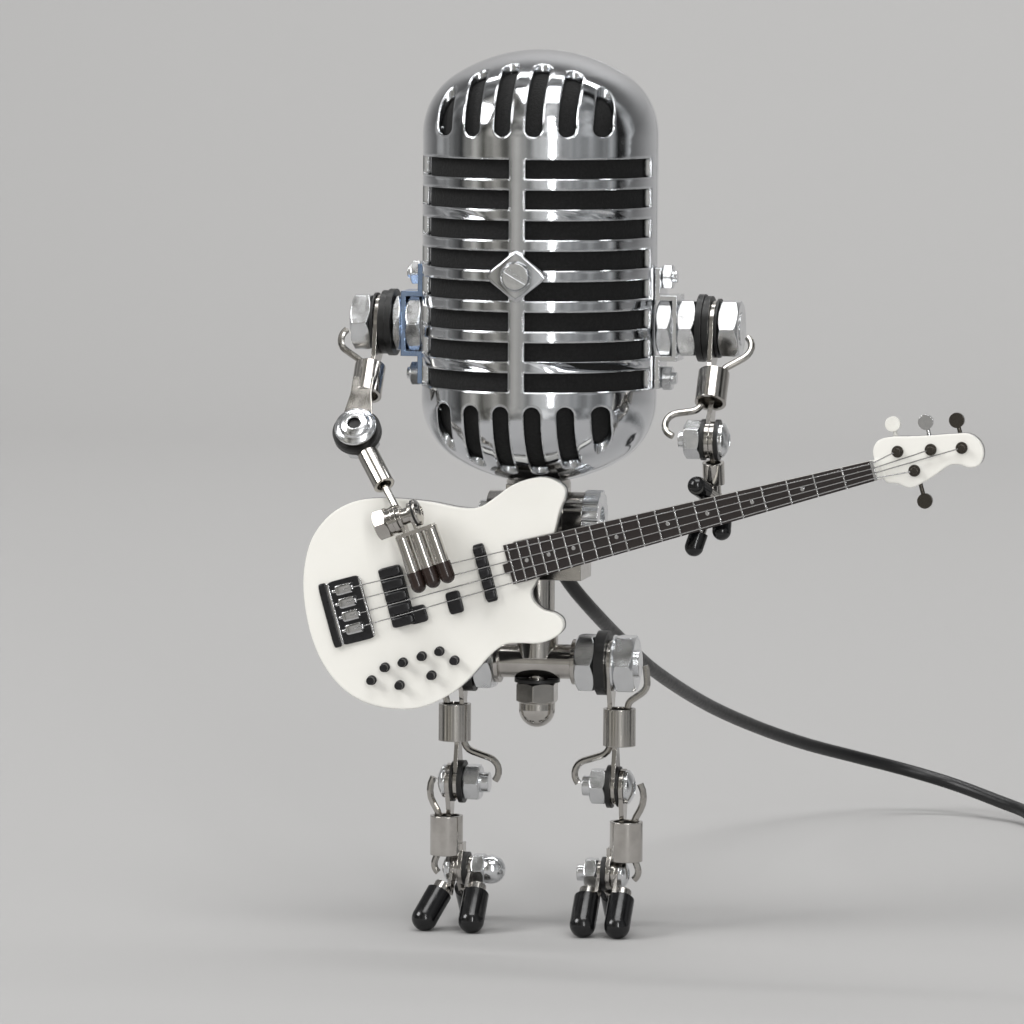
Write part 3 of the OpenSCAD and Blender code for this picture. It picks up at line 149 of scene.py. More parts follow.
def smooth_line(points, steps):
    """Catmull-Rom curve: in each span a cubic that passes through both ends, with a slope there of
    half the way between the neighbours; steps samples in each span."""
    p = np.asarray(points, float)
    q = np.vstack([2 * p[0] - p[1], p, 2 * p[-1] - p[-2]])
    t = (np.arange(steps) / steps)[None, :, None]
    a, b, c, d = (q[k:len(q) - 3 + k, None, :] for k in range(4))
    curve = 0.5 * (2 * b + (c - a) * t + (2 * a - 5 * b + 4 * c - d) * t ** 2
                   + (3 * b - a - 3 * c + d) * t ** 3)
    return np.vstack([curve.reshape(-1, p.shape[1]), p[-1]])


def tube_grid(line, radius, sides):
    """Circle of the radius carried along the line on frames that don't twist: each normal is the
    last one less its part along the new tangent. Both ends close in a flattened round cap."""
    tangent = np.gradient(line, axis=0)
    tangent /= np.linalg.norm(tangent, axis=1)[:, None]
    start = np.cross(tangent[0], [0.0, 0.0, 1.0])
    normals = [start / np.linalg.norm(start)]
    for t in tangent[1:]:
        n = normals[-1] - t * np.dot(normals[-1], t)
        normals.append(n / np.linalg.norm(n))
    normal = np.array(normals)
    side = np.cross(tangent, normal)
    angle = np.linspace(0, 2 * np.pi, sides, endpoint=False)[None, :, None]
    ring = normal[:, None] * np.cos(angle) + side[:, None] * np.sin(angle)
    turn = END_TURNS[:, None, None]
    across, beyond = np.cos(turn), END_DEPTH * np.sin(turn)
    first = line[0] + radius * (across * ring[0] - beyond * tangent[0])
    last = line[-1] + radius * (across * ring[-1] + beyond * tangent[-1])
    return np.concatenate([first, line[:, None] + radius * ring, last[::-1]])


# ---------- Materials ----------


def linear(code):
    """An sRGB hex colour in linear light."""
    values = [int(code[k:k + 2], 16) / 255 for k in (1, 3, 5)]
    return [v / 12.92 if v <= 0.04045 else ((v + 0.055) / 1.055) ** 2.4 for v in values] + [1.0]


def add_node(material, kind, settings=(), inputs=()):
    """Adds one node; an input is a value, or another node's output socket that it is linked to."""
    tree = material.node_tree
    node = tree.nodes.new(kind)
    for key, value in dict(settings).items():
        setattr(node, key, value)
    for key, value in dict(inputs).items():
        if isinstance(value, bpy.types.NodeSocket):
            tree.links.new(value, node.inputs[key])
        else:
            node.inputs[key].default_value = value
    return node


def shader_of(material):
    """The shader that a new material starts with."""
    return material.node_tree.nodes["Principled BSDF"]


def new_material(name, code, roughness, metallic=0.0, extra=()):
    """A material with its uniform values on the shader's own sockets."""
    material = bpy.data.materials.new(name)
    material.use_nodes = True
    values = {"Base Color": linear(code), "Roughness": roughness, "Metallic": metallic}
    for key, value in {**values, **dict(extra)}.items():
        shader_of(material).inputs[key].default_value = value
    return material


# The noise lies between the first two over nearly all of a surface; its octaves and how they fade
NOISE_LOW, NOISE_HIGH, NOISE_DETAIL, NOISE_FADE = 0.3, 0.7, 4.0, 0.55
BUMP_STRENGTH = 0.6
EDGE_SAMPLES = 6


def finished(name, code, roughness, size, spread, metallic=0.0, bump=0.0, tint=None, edge=0.0,
             extra=()):
    """A material with a real surface: noise of the size in mm takes the roughness through its
    spread, lifts the surface by bump in mm and mixes in a second tint; edge is the radius in mm
    at which light falls on its corners as if they were rounded."""
    material = new_material(name, code, roughness, metallic, extra)
    shader, links = shader_of(material), material.node_tree.links
    where = add_node(material, "ShaderNodeTexCoord")
    noise = add_node(material, "ShaderNodeTexNoise", (), {
        "Vector": where.outputs["Object"], "Scale": 1.0 / (size * MM), "Detail": NOISE_DETAIL,
        "Roughness": NOISE_FADE})
    rough = add_node(material, "ShaderNodeMapRange", (), {
        "Value": noise.outputs["Fac"], "From Min": NOISE_LOW, "From Max": NOISE_HIGH,
        "To Min": spread[0], "To Max": spread[1]})
    links.new(rough.outputs["Result"], shader.inputs["Roughness"])
    if tint:
        mix = add_node(material, "ShaderNodeMix", {"data_type": "RGBA"}, {
            "Factor": noise.outputs["Fac"], "A": linear(code), "B": linear(tint)})
        links.new(mix.outputs["Result"], shader.inputs["Base Color"])
    normal = None
    if edge:
        normal = add_node(material, "ShaderNodeBevel", {"samples": EDGE_SAMPLES}, {
            "Radius": edge * MM}).outputs["Normal"]
    if bump:
        bumps = add_node(material, "ShaderNodeBump", (), {
            "Height": noise.outputs["Fac"], "Strength": BUMP_STRENGTH, "Distance": bump * MM})
        if normal:
            links.new(normal, bumps.inputs["Normal"])
        normal = bumps.outputs["Normal"]
    if normal:
        links.new(normal, shader.inputs["Normal"])
    return material


# Between these heights, in metres, the shell's side is a cylinder; each limit fades over its pair
SIDE_FOOT = (0.1288, 0.1298)
SIDE_TOP = (0.1915, 0.1925)
# Cosine of a face's lean from the cylinder: below the first it keeps its own direction
SIDE_LEAN = (0.93, 0.96)


def round_sides(material):
    """Between its domes the shell's flats shine as a true cylinder: the outward direction from the
    axis, plus what the rounded edges and the ripple add to the mesh's own normal."""
    shader = shader_of(material)
    ridge = shader.inputs["Normal"].links[0].from_socket
    where = add_node(material, "ShaderNodeTexCoord")
    own = add_node(material, "ShaderNodeNewGeometry")
    middle = add_node(material, "ShaderNodeVectorMath", {"operation": "SUBTRACT"}, {
        0: where.outputs["Object"], 1: tuple(AXIS * MM)})
    flat = add_node(material, "ShaderNodeVectorMath", {"operation": "MULTIPLY"}, {
        0: middle.outputs["Vector"], 1: (1, 1, 0)})
    out = add_node(material, "ShaderNodeVectorMath", {"operation": "NORMALIZE"}, {
        0: flat.outputs["Vector"]})
    match = add_node(material, "ShaderNodeVectorMath", {"operation": "DOT_PRODUCT"}, {
        0: own.outputs["True Normal"], 1: out.outputs["Vector"]})
    near = add_node(material, "ShaderNodeMapRange", (), {
        "Value": match.outputs["Value"], "From Min": SIDE_LEAN[0], "From Max": SIDE_LEAN[1]})
    height = add_node(material, "ShaderNodeSeparateXYZ", (), {0: middle.outputs["Vector"]})
    below = add_node(material, "ShaderNodeMapRange", (), {
        "Value": height.outputs["Z"], "From Min": SIDE_TOP[0], "From Max": SIDE_TOP[1],
        "To Min": 1.0, "To Max": 0.0})
    above = add_node(material, "ShaderNodeMapRange", (), {
        "Value": height.outputs["Z"], "From Min": SIDE_FOOT[0], "From Max": SIDE_FOOT[1],
        "To Min": 0.0, "To Max": 1.0})
    band = add_node(material, "ShaderNodeMath", {"operation": "MULTIPLY"}, {
        0: below.outputs["Result"], 1: above.outputs["Result"]})
    share = add_node(material, "ShaderNodeMath", {"operation": "MULTIPLY"}, {
        0: near.outputs["Result"], 1: band.outputs["Value"]})
    change = add_node(material, "ShaderNodeVectorMath", {"operation": "SUBTRACT"}, {
        0: out.outputs["Vector"], 1: own.outputs["Normal"]})
    part = add_node(material, "ShaderNodeVectorMath", {"operation": "SCALE"}, {
        0: change.outputs["Vector"], "Scale": share.outputs["Value"]})
    total = add_node(material, "ShaderNodeVectorMath", {"operation": "ADD"}, {
        0: ridge, 1: part.outputs["Vector"]})
    unit = add_node(material, "ShaderNodeVectorMath", {"operation": "NORMALIZE"}, {
        0: total.outputs["Vector"]})
    material.node_tree.links.new(unit.outputs["Vector"], shader.inputs["Normal"])


# Chromium plate on die cast zinc: a mirror with a slight ripple and cloudy patches
chrome = finished("chromium_plate_die_cast", "#D3D5D8", 0.08, 9.0, (0.05, 0.13), metallic=1.0,
                  bump=0.05, edge=1.0)
round_sides(chrome)
# Bright zinc plate, blue passivated: cool and pale, a little hazy, with faint clouds
zinc = finished("zinc_plate_blue_passivated", "#ECEDEE", 0.2, 3.0, (0.13, 0.28), metallic=1.0,
                bump=0.02, tint="#D6D8DA", edge=0.35)
# The same plate where its passivation is thicker: a clear blue cast
zinc_blue = finished("zinc_plate_blue_tinted", "#A9BCD8", 0.22, 3.0, (0.14, 0.3), metallic=1.0,
                     bump=0.02, tint="#8EA6CC", edge=0.35)
# Nickel plated brass crimp lugs: warmer and softer than chrome
nickel = finished("nickel_plated_crimp_lug", "#CFCCC7", 0.22, 4.0, (0.09, 0.22), metallic=1.0,
                  bump=0.02, tint="#A9A5A0", edge=0.3)
# Drawn nickel silver wire: a warm, slightly dull shine
wire_metal = finished("drawn_nickel_silver_wire", "#C6C3BE", 0.18, 3.0, (0.1, 0.22), metallic=1.0,
                      bump=0.01, tint="#98948E")
# Moulded nitrile washers: deep black with a soft sheen
rubber = finished("black_nitrile_rubber", "#101010", 0.4, 0.9, (0.32, 0.5), bump=0.02,
                  tint="#191918", edge=0.25)
# Dipped vinyl caps: black and wet looking, with soft highlights
vinyl = finished("black_dipped_vinyl", "#0B0B0C", 0.16, 2.0, (0.1, 0.24), bump=0.03,
                 tint="#141415")
# The same caps in a brown black
brown_vinyl = finished("brown_black_dipped_vinyl", "#231A17", 0.2, 2.0, (0.14, 0.3), bump=0.03,
                       tint="#30241F")
# Open cell foam liner behind the slots: no gloss at all
foam = finished("black_reticulated_foam", "#0A0A0A", 0.95, 0.7, (0.85, 1.0), bump=0.3,
                tint="#161616")
# Opal polycarbonate lamp cover inside the shell: milky with a satin skin
diffuser = finished("opal_polycarbonate_diffuser", "#F1EEE4", 0.35, 1.5, (0.3, 0.42))
# Moulded bulb holder: smooth, white and lightly glossy
bakelite = finished("moulded_white_bakelite", "#E8E6E0", 0.3, 1.5, (0.25, 0.38))
# Solder mask on the dimmer's board: green lacquer of uneven depth
board = finished("green_solder_mask_board", "#1E6B3B", 0.4, 1.0, (0.3, 0.5), tint="#16502C")
# Off-white polyester lacquer on the guitar, glossy and very slightly uneven
lacquer = finished("white_polyester_lacquer", "#F1EFE9", 0.12, 6.0, (0.1, 0.2), bump=0.02,
                   tint="#ECEAE2", edge=0.6, extra={"Coat Weight": 0.6, "Coat Roughness": 0.04})
# Black paint on the guitar's back layer and fittings: satin, with a trace of brush
guitar_black = finished("black_painted_wood", "#0D0D0E", 0.25, 1.2, (0.24, 0.42), bump=0.02,
                        tint="#17161A", edge=0.25)
# Oiled rosewood: dark brown, blotched and nearly matt
fingerboard = finished("rosewood_fingerboard", "#2A201E", 0.45, 0.8, (0.35, 0.55), bump=0.03,
                       tint="#15110F", edge=0.2)
# Polished stainless frets, strings and bridge: bright, with fine rubbing marks
bright_steel = finished("polished_stainless_steel", "#D6D6D6", 0.15, 1.0, (0.1, 0.22),
                        metallic=1.0, tint="#C2C2C4", edge=0.15)
# Pearloid tuning key: creamy white with soft clouds
pearl = finished("pearloid_key", "#E9E8E2", 0.25, 1.0, (0.18, 0.34), tint="#D8D6CE", edge=0.2)
# Dark bronze plate on the other keys: brown grey, worn dull
bronze = finished("dark_bronze_plate", "#5E5A54", 0.3, 1.5, (0.22, 0.38), metallic=1.0,
                  tint="#45413C", edge=0.2)
# Soft PVC sheath of the lead: satin black
pvc = finished("black_soft_pvc_sheath", "#0B0B0C", 0.33, 1.2, (0.3, 0.46), bump=0.02,
               tint="#121213")

NODE_MATERIALS = {
    "front_shell": chrome, "rear_shell": chrome, "grille_liner": foam, "shell_fasteners": zinc,
    "shoulder_brackets": zinc, "shoulder_bolts": zinc, "shoulder_washers": rubber,
    "swivel_ear": nickel, "led_bulb": diffuser, "bulb_holder": bakelite, "dimmer_board": board,
    "neck_pipe": nickel, "swivel_base": nickel, "swivel_knob": zinc, "hip_tee": nickel,
    "acorn_nut": nickel, "hip_studs": zinc, "hip_washers": rubber,
    "finger_caps_right": vinyl, "finger_caps_left": brown_vinyl,
    "guitar_body": lacquer, "guitar_back": guitar_black, "guitar_neck": lacquer,
    "fretboard": fingerboard, "frets": bright_steel, "strings": bright_steel,
    "bridge": bright_steel, "pickups": guitar_black, "control_knobs": guitar_black,
    "tuners": pearl, "cord": pvc, "cord_coil": pvc, "strain_relief": pvc, "usb_plug": pvc,
}
# Nodes that each side of the robot has
SIDE_MATERIALS = {
    "upper_arm": nickel, "arm_wires": wire_metal, "elbow_bolt": zinc, "forearm": nickel,
    "hand": nickel, "thigh_link": nickel, "thigh_wires": wire_metal, "knee_bolt": zinc,
    "shin_link": nickel, "shin_wires": wire_metal, "ankle_bolt": zinc, "toes": nickel,
    "toe_caps": vinyl,
}
for side in ("right", "left"):
    NODE_MATERIALS.update({f"{name}_{side}": kind for name, kind in SIDE_MATERIALS.items()})
for name, node in nodes.items():
    node.data.materials.clear()
    node.data.materials.append(NODE_MATERIALS[name])

# ---------- Pieces of a node in a second finish ----------

# Corners of the CAD's loose triangles are one point when they agree to this, in millimetres
WELD = 1e-3
MOST_ROUNDS = 400
# A washer is thinner and wider than these, in millimetres
WASHER_THICK, WASHER_WIDE = 1.7, 6.2
WASHER_NODES = ("knee_bolt_right", "knee_bolt_left", "ankle_bolt_right", "ankle_bolt_left",
                "elbow_bolt_right", "elbow_bolt_left", "forearm_left")


def solids_of(mesh):
    """Label of each polygon's solid, then each welded point's label and place in millimetres. Every
    point takes the lowest label among the polygons that it is on, until no label changes."""
    points = np.empty(len(mesh.vertices) * 3, np.float32)
    mesh.vertices.foreach_get("co", points)
    keys, back = np.unique(np.round(points.reshape(-1, 3) / (WELD * MM)).astype(np.int64), axis=0,
                           return_inverse=True)
    corners = np.empty(len(mesh.loops), np.int32)
    mesh.loops.foreach_get("vertex_index", corners)
    starts = np.empty(len(mesh.polygons), np.int32)
    mesh.polygons.foreach_get("loop_start", starts)
    counts = np.diff(np.append(starts, len(corners)))
    corners, label = back.ravel()[corners], np.arange(len(keys))
    for _ in range(MOST_ROUNDS):
        least = np.minimum.reduceat(label[corners], starts)
        spread = label.copy()
        np.minimum.at(spread, corners, np.repeat(least, counts))
        if (spread == label).all():
            break
        label = spread
    return label[corners[starts]], label, keys * WELD


def paint_washers(name, material):
    """Gives the material to each flat, wide solid of a node, which is a washer on its bolt. Its
    sizes are taken along the principal axes of its points."""
    mesh = nodes[name].data
    faces, label, points = solids_of(mesh)
    kinds = np.zeros(len(faces), np.int32)
    for solid in np.unique(faces):
        cloud = points[label == solid] - points[label == solid].mean(axis=0)
        size = np.ptp(cloud @ np.linalg.eigh(np.cov(cloud.T))[1], axis=0)
        if size.min() < WASHER_THICK and size.max() > WASHER_WIDE:
            kinds[faces == solid] = 1
    mesh.materials.append(material)
    mesh.polygons.foreach_set("material_index", kinds)


def paint_left(name, material):
    """Gives the material to the solids of a node left of the robot's axis."""
    mesh = nodes[name].data
    centres = np.empty(len(mesh.polygons) * 3, np.float32)
    mesh.polygons.foreach_get("center", centres)
    mesh.materials.append(material)
    mesh.polygons.foreach_set("material_index", (centres[::3] < AXIS[0] * MM).astype(np.int32))


# Robot millimetres: the keys' grips lie behind their posts, the lower one hangs below the rest, and
# along the row the finish changes at each of the two breaks
KEY_FRONT_Y = -20.0
LOW_KEY_Z = 118.0
KEY_BREAKS_X = [93.0, 100.0]


def paint_keys(name, materials):
    """Ageing of the tuners from the nut outwards: a pale key, a bright one, then two of dark
    bronze, as are all the posts."""
    mesh = nodes[name].data
    faces, label, points = solids_of(mesh)
    kinds = np.full(len(faces), len(materials), np.int32)
    for solid in np.unique(faces):
        low, high = points[label == solid].min(axis=0), points[label == solid].max(axis=0)
        x, y, z = (low + high) / 2 - AXIS
        if y > KEY_FRONT_Y and z >= LOW_KEY_Z:
            kinds[faces == solid] = int(np.digitize(x, KEY_BREAKS_X))
    for material in materials:
        mesh.materials.append(material)
    mesh.polygons.foreach_set("material_index", kinds)


for name in WASHER_NODES:
    paint_washers(name, rubber)
paint_left("shoulder_brackets", zinc_blue)
paint_keys("tuners", [bright_steel, bronze])

# ---------- Lead ----------

CORD_D = 3.5
CORD_SIDES = 16
# Samples in each span of the route and of the tail, and the even step along the finished line
ROUTE_STEPS, TAIL_STEPS, CORD_STEP = 5, 4, 2.4
CORD_ROUTE = [[0, 16, 88.5], [0.8, 20.5, 86.6], [3.2, 27, 80.6], [6.3, 38, 73.6], [8.7, 62, 64],
              [11.7, 95, 52.2], [16.9, 140, 38.7], [25.1, 172, 28.9], [34.9, 196, 21.5],
              [46.1, 213, 16.1], [58.7, 222, 11.8], [72.6, 222, 8.1], [87.8, 212, 4.7],
              [93.8, 206, 3.7], [99, 196, 2.6], [102.5, 186, 1.9], [103.5, 177, 1.8],
              [103, 168, 1.8]]
# Middle of the coil, and the side of it, from +X, on which the first turn starts
COIL_X, COIL_Y = 131.0, 168.0
COIL_START = math.pi
# The coil, as turns from its start, distance from its middle and height: in, out, in again, then
# off over the top
COIL_TURNS = [[0, 28, 1.8], [0.25, 25.9, 1.8], [0.5, 24.25, 1.8], [3.5, 13.75, 1.8],
              [3.6, 13.75, 2.4], [3.74, 13.75, 4.7], [3.83, 13.75, 5.3], [6.83, 24.25, 5.3],
              [6.9, 24.25, 5.8], [7.02, 24.25, 8.3], [7.08, 24.25, 8.8], [9.08, 17.25, 8.8],
              [9.12, 17.3, 9.8], [9.17, 17.9, 11.9], [9.2, 18.8, 12.4], [9.26, 22.5, 12.4],
              [9.31, 26.6, 12.2], [9.335, 28.4, 10.6], [9.36, 29.7, 7.6], [9.385, 30.7, 4.4],
              [9.41, 31.6, 2.3]]
# Share of a turn between the coil's samples, how many at its start are left to the route, and how
# many the moving average takes in
TURN_STEP, COIL_SKIP, COIL_BLUR = 1 / 44, 3, 9
CORD_TAIL = [[158.6, 152.2, 1.8], [161.3, 158.0, 2.2], [162.2, 164.0, 3.1], [162.3, 172.0, 3.5]]
# Where the cord enters the plug, and how far the tongue lies under the plug's middle
PLUG_AT = (162.3, 172.0, 3.5)
TONGUE_DROP = 0.8
LOOP_POINTS = 48
# Sections of the plug along Y: y, width, height and power
PLUG_GRIP = [[0, 0.01, 0.01, 2], [0, 4.6, 4.6, 2], [0.4, 5, 5, 2], [1.4, 5, 5, 2],
             [1.6, 4.3, 4.3, 2], [2.2, 4.3, 4.3, 2], [2.4, 5.3, 5.2, 2], [3.4, 5.4, 5.3, 2],
             [3.6, 4.6, 4.5, 2], [4.2, 4.7, 4.6, 2], [4.4, 5.8, 5.5, 2.2], [5.4, 6, 5.6, 2.3],
             [6.0, 7.2, 6, 2.8], [7.2, 8.9, 6.6, 3.4], [8.6, 9.7, 6.9, 4], [10, 10, 7, 4.5],
             [20.6, 10, 7, 4.5], [21.5, 9.8, 6.8, 4.5], [21.9, 9.3, 6.3, 4.5],
             [22, 8.6, 5.6, 4.5], [22, 0.01, 0.01, 4.5]]
PLUG_CAN = [[21.6, 8, 4.4, 9], [33.7, 8, 4.4, 9], [33.9, 7.85, 4.25, 9], [34, 7.6, 4.0, 9],
            [33.9, 7.3, 3.7, 9], [33.7, 7.2, 3.6, 9], [24, 7.2, 3.6, 9], [24, 0.01, 0.01, 9]]
PLUG_TONGUE = [[23.5, 6.8, 1.7, 9], [33.0, 6.8, 1.7, 9], [33.2, 6.6, 1.5, 9],
               [33.2, 0.01, 0.01, 9]]


def lead_line():
    """The route, then the turns of the coil as a spiral about its middle in three layers, then the
    plug's tail: distance and height run straight between the coil's turns, softened by a moving
    average, and the whole is resampled at even steps and smoothed once by its neighbours."""
    turn, reach, height = np.array(COIL_TURNS).T
    fine = np.unique(np.concatenate([np.arange(TURN_STEP, turn[-1], TURN_STEP), turn[1:]]))
    angle = COIL_START + 2 * math.pi * fine
    blur = np.hanning(COIL_BLUR) / np.hanning(COIL_BLUR).sum()
    r, z = (np.convolve(np.pad(np.interp(fine, turn, k), COIL_BLUR // 2, "edge"), blur, "valid")
            for k in (reach, height))
    coil = np.stack([COIL_X + r * np.cos(angle), COIL_Y + r * np.sin(angle), z], axis=1)
    rough_line = np.vstack([smooth_line(CORD_ROUTE, ROUTE_STEPS), coil[COIL_SKIP:],
                            smooth_line(CORD_TAIL, TAIL_STEPS)])
    run = np.concatenate([[0], np.cumsum(np.linalg.norm(np.diff(rough_line, axis=0), axis=1))])
    even = np.linspace(0, run[-1], int(run[-1] / CORD_STEP))
    line = np.stack([np.interp(even, run, rough_line[:, k]) for k in range(3)], axis=1)
    line[1:-1] = 0.25 * line[:-2] + 0.5 * line[1:-1] + 0.25 * line[2:]
    return line


def rounded_loop(width, height, power):
    """Superellipse: |x / half width| and |z / half height|, each to the power, add up to one."""
    t = np.linspace(0, 2 * np.pi, LOOP_POINTS, endpoint=False)
    c, s = np.cos(t), np.sin(t)
    return np.stack([width / 2 * np.sign(c) * np.abs(c) ** (2 / power),
                     height / 2 * np.sign(s) * np.abs(s) ** (2 / power)], axis=1)


def loft_y(stations, middle):
    """Superellipse sections along Y; a station is y, width, height and power."""
    rings = []
    for y, width, height, power in stations:
        x, z = rounded_loop(width, height, power).T
        rings.append(np.stack([middle[0] + x, np.full(len(x), middle[1] + y), middle[2] + z],
                              axis=1))
    return np.array(rings)


def make_lead():
    """The cord as one tube from the strain relief to the plug, and the plug's grip, can and
    contact tongue as lofts."""
    line = lead_line()
    lead = piece("lead", [(tube_grid(line, CORD_D / 2, CORD_SIDES), True)], "base",
                 [pvc], ["cord", "cord_coil"])
    grip = piece("plug_grip", [(loft_y(PLUG_GRIP, PLUG_AT), True)], "base", [pvc],
                 ["usb_plug"])
    can = piece("plug_can", [(loft_y(PLUG_CAN, PLUG_AT), True)], "base",
                [bright_steel], ["usb_plug"])
    tongue_at = (PLUG_AT[0], PLUG_AT[1], PLUG_AT[2] - TONGUE_DROP)
    tongue = piece("plug_tongue", [(loft_y(PLUG_TONGUE, tongue_at), True)], "base",
                   [pvc], ["usb_plug"])


make_lead()

# ---------- Left elbow's screw head ----------

# Radius and height: a flange, a dome, and from the recess's ring on its inside, black painted shade
HEAD_PROFILE = [[0.001, 0.02], [4.85, 0.02], [5.05, 0.15], [5.1, 0.4], [5.02, 0.68], [4.8, 0.86],
                [4.55, 0.98], [4.3, 1.16], [4.05, 1.3], [3.8, 1.34], [3.62, 1.5], [3.55, 1.78],
                [3.35, 2.02], [3.0, 2.2], [2.6, 2.36], [2.2, 2.46], [1.85, 2.5], [1.62, 2.44],
                [1.5, 2.3], [1.45, 2.1], [1.42, 1.5], [0.001, 1.45]]
PAINTED_SHADE_RING = 18
LATHE_POINTS = 64
ELBOW = np.array([-41.1, -15.30, 120.27])
ARM_LEAN = math.radians(35)
OUTWARD = np.array([0.0, -math.cos(ARM_LEAN), math.sin(ARM_LEAN)])
# From the middle of the elbow out to the seat of the head
HEAD_SEAT = 3.5
# A pole's ring is 0.002 mm wide, and closes into one point
POLE_MERGE = 2e-6


def lathe(profile, origin, axis):
    """The profile of radius and height turned once about the axis through the origin."""
    side = np.cross(axis, [1.0, 0.0, 0.0])
    side /= np.linalg.norm(side)
    other = np.cross(axis, side)
    turn = np.linspace(0, 2 * np.pi, LATHE_POINTS, endpoint=False)[None, :, None]
    r, h = np.asarray(profile, float).T[..., None, None]
    return origin + h * axis + r * (np.cos(turn) * side + np.sin(turn) * other)


screw_head = lathe(HEAD_PROFILE, ELBOW + HEAD_SEAT * OUTWARD, OUTWARD)
# Inside its recess the head takes the black rubber: painted shade in the socket
piece("elbow_screw_head", [(screw_head[:PAINTED_SHADE_RING + 1], True, 0),
                           (screw_head[PAINTED_SHADE_RING:], True, 1)],
      "arm_left", [zinc, rubber], merge=POLE_MERGE)

# ---------- Guitar's fittings ----------

GUITAR_AT = np.array([-2.7, -17.98, 90.71])
GUITAR_TURN = math.radians(15.7)
# Height of the body's face, place of the nut and the strings' swinging length
BODY_TOP, NUT_U, SCALE = 3.6, 90.9, 131.4
# The strings' spacing at the nut, what it gains over the scale, and their drift to one side
NUT_PITCH, PITCH_GAIN, STRING_DRIFT = 1.15, 2.1, 0.005
STRINGS = 4
BLOCK_RINGS, BLOCK_SIDES = 25, 48
# A pickup's plate and ribs: heights, middle of the ribs, and the shares of the plate and of the
# strings' spacing that a rib fills
PLATE_H, RIB_H, RIB_MIDDLE, RIB_LENGTH, RIB_WIDTH = 0.9, 1.7, 0.95, 0.96, 0.8


def on_guitar(points):
    """Guitar millimetres to robot millimetres: along the neck and across it are turned by the
    guitar's angle, and out from its back points to the front."""
    u, v, w = np.moveaxis(np.asarray(points, float), -1, 0)
    c, s = math.cos(GUITAR_TURN), math.sin(GUITAR_TURN)
    return np.stack([GUITAR_AT[0] + u * c - v * s, GUITAR_AT[1] - w, GUITAR_AT[2] + u * s + v * c],
                    axis=-1)


def string_v(i, u):
    """Place of a string across the neck: even steps that widen with the way from the nut, less a
    slight drift."""
    way = NUT_U - u
    return (i - (STRINGS - 1) / 2) * (NUT_PITCH + PITCH_GAIN * way / SCALE) - STRING_DRIFT * way


def soft_block(middle, size, power):
    """Superellipsoid: the half size along each axis times signed powers of the cosines and sines of
    a sphere's latitude and longitude; a high power makes a block with rounded edges."""
    lat = np.linspace(-np.pi / 2, np.pi / 2, BLOCK_RINGS)[:, None]
    lon = np.linspace(0, 2 * np.pi, BLOCK_SIDES, endpoint=False)[None]

    def soft(value, k):
        return np.sign(value) * np.abs(value) ** (2 / k)

    ring = soft(np.cos(lat), power[1])
    shape = np.stack([ring * soft(np.cos(lon), power[0]), ring * soft(np.sin(lon), power[0]),
                      soft(np.sin(lat), power[1]) * np.ones_like(lon)], axis=-1)
    return np.asarray(middle, float) + shape * np.asarray(size, float) / 2


def guitar_blocks(name, blocks, materials, replaces):
    """One piece of soft blocks. A block is u, v and height of its middle above the body's face, its
    size, its powers round and up, and the number of its material."""
    grids = [(on_guitar(soft_block([u, v, BODY_TOP + rise], size, power)), True, kind)
             for (u, v, rise), size, power, kind in blocks]
    return piece(name, grids, "forearm_right", materials, replaces)


def pickup_blocks(u, width, reach):
    """A low plate, and a rounded rib on each side of every string."""
    pitch = string_v(1, u) - string_v(0, u)
    blocks = [((u, string_v(1.5, u), PLATE_H / 2), (width, reach, PLATE_H), (8, 6), 0)]
    for i in range(STRINGS + 1):
        v = string_v(0, u) + (i - 0.5) * pitch
        blocks.append(((u, v, RIB_MIDDLE), (width * RIB_LENGTH, pitch * RIB_WIDTH, RIB_H), (5, 4),
                       0))
    return blocks


# The rear and the front pickup, the rear one's lip, and the thumb rest
pickup_covers = pickup_blocks(-28.4, 5.8, 14.6) + pickup_blocks(-6, 2.9, 14.2) + [
    ((-24.6, -6.1, 0.4), (4.4, 4.2, 0.8), (6, 5), 0),
    ((-15.1, -5.5, 0.5), (3.6, 5.4, 1.0), (6, 5), 0)]
guitar_blocks("pickup_covers", pickup_covers, [guitar_black], ["pickups"])

# The bridge's end wall and plate, both black, and the bright bars behind and before its saddles
bridge_parts = [((-45.55, -1.1, 0.55), (2.1, 15.8, 1.1), (7, 4), 1),
                ((-40.3, -1.1, 0.35), (8.6, 15.6, 0.7), (9, 6), 1),
                ((-44.2, -1.1, 0.85), (0.7, 15.2, 0.7), (6, 4), 0),
                ((-36.3, -1.1, 0.75), (0.5, 14.8, 0.35), (6, 4), 0)]
# Each string's saddle, its length screw behind it, and its two height screws
SADDLE_U, LENGTH_SCREW_U, HEIGHT_SCREW_U, HEIGHT_SCREW_V = -40.4, -42.9, -38.5, 0.75
# Where the strings bend over the saddles
BEND_U = -40.5
for i in range(STRINGS):
    v = string_v(i, BEND_U)
    bridge_parts += [((SADDLE_U, v, 0.85), (4.6, 2.5, 0.9), (6, 4), 0),
                     ((LENGTH_SCREW_U, v, 0.85), (1.6, 0.8, 0.6), (3, 2), 0)]
    bridge_parts += [((HEIGHT_SCREW_U, v + way, 1.1), (0.6, 0.6, 0.7), (2, 3), 1)
                     for way in (-HEIGHT_SCREW_V, HEIGHT_SCREW_V)]
guitar_blocks("bridge_parts", bridge_parts, [bright_steel, guitar_black],
              ["bridge"])

# ---------- Floor and backdrop ----------

# In metres: the floor's rows, the foot and radius of the turn, the wall's top and half the width
FLOOR_Y = [-3.5, -1.0, 0.5]
TURN_Y, TURN_R, WALL_TOP, HALF_WIDTH = 1.4, 0.8, 4.5, 4.5
SWEEP_COLUMNS, TURN_ROWS = 13, 25
PAPER = "#A1A09F"
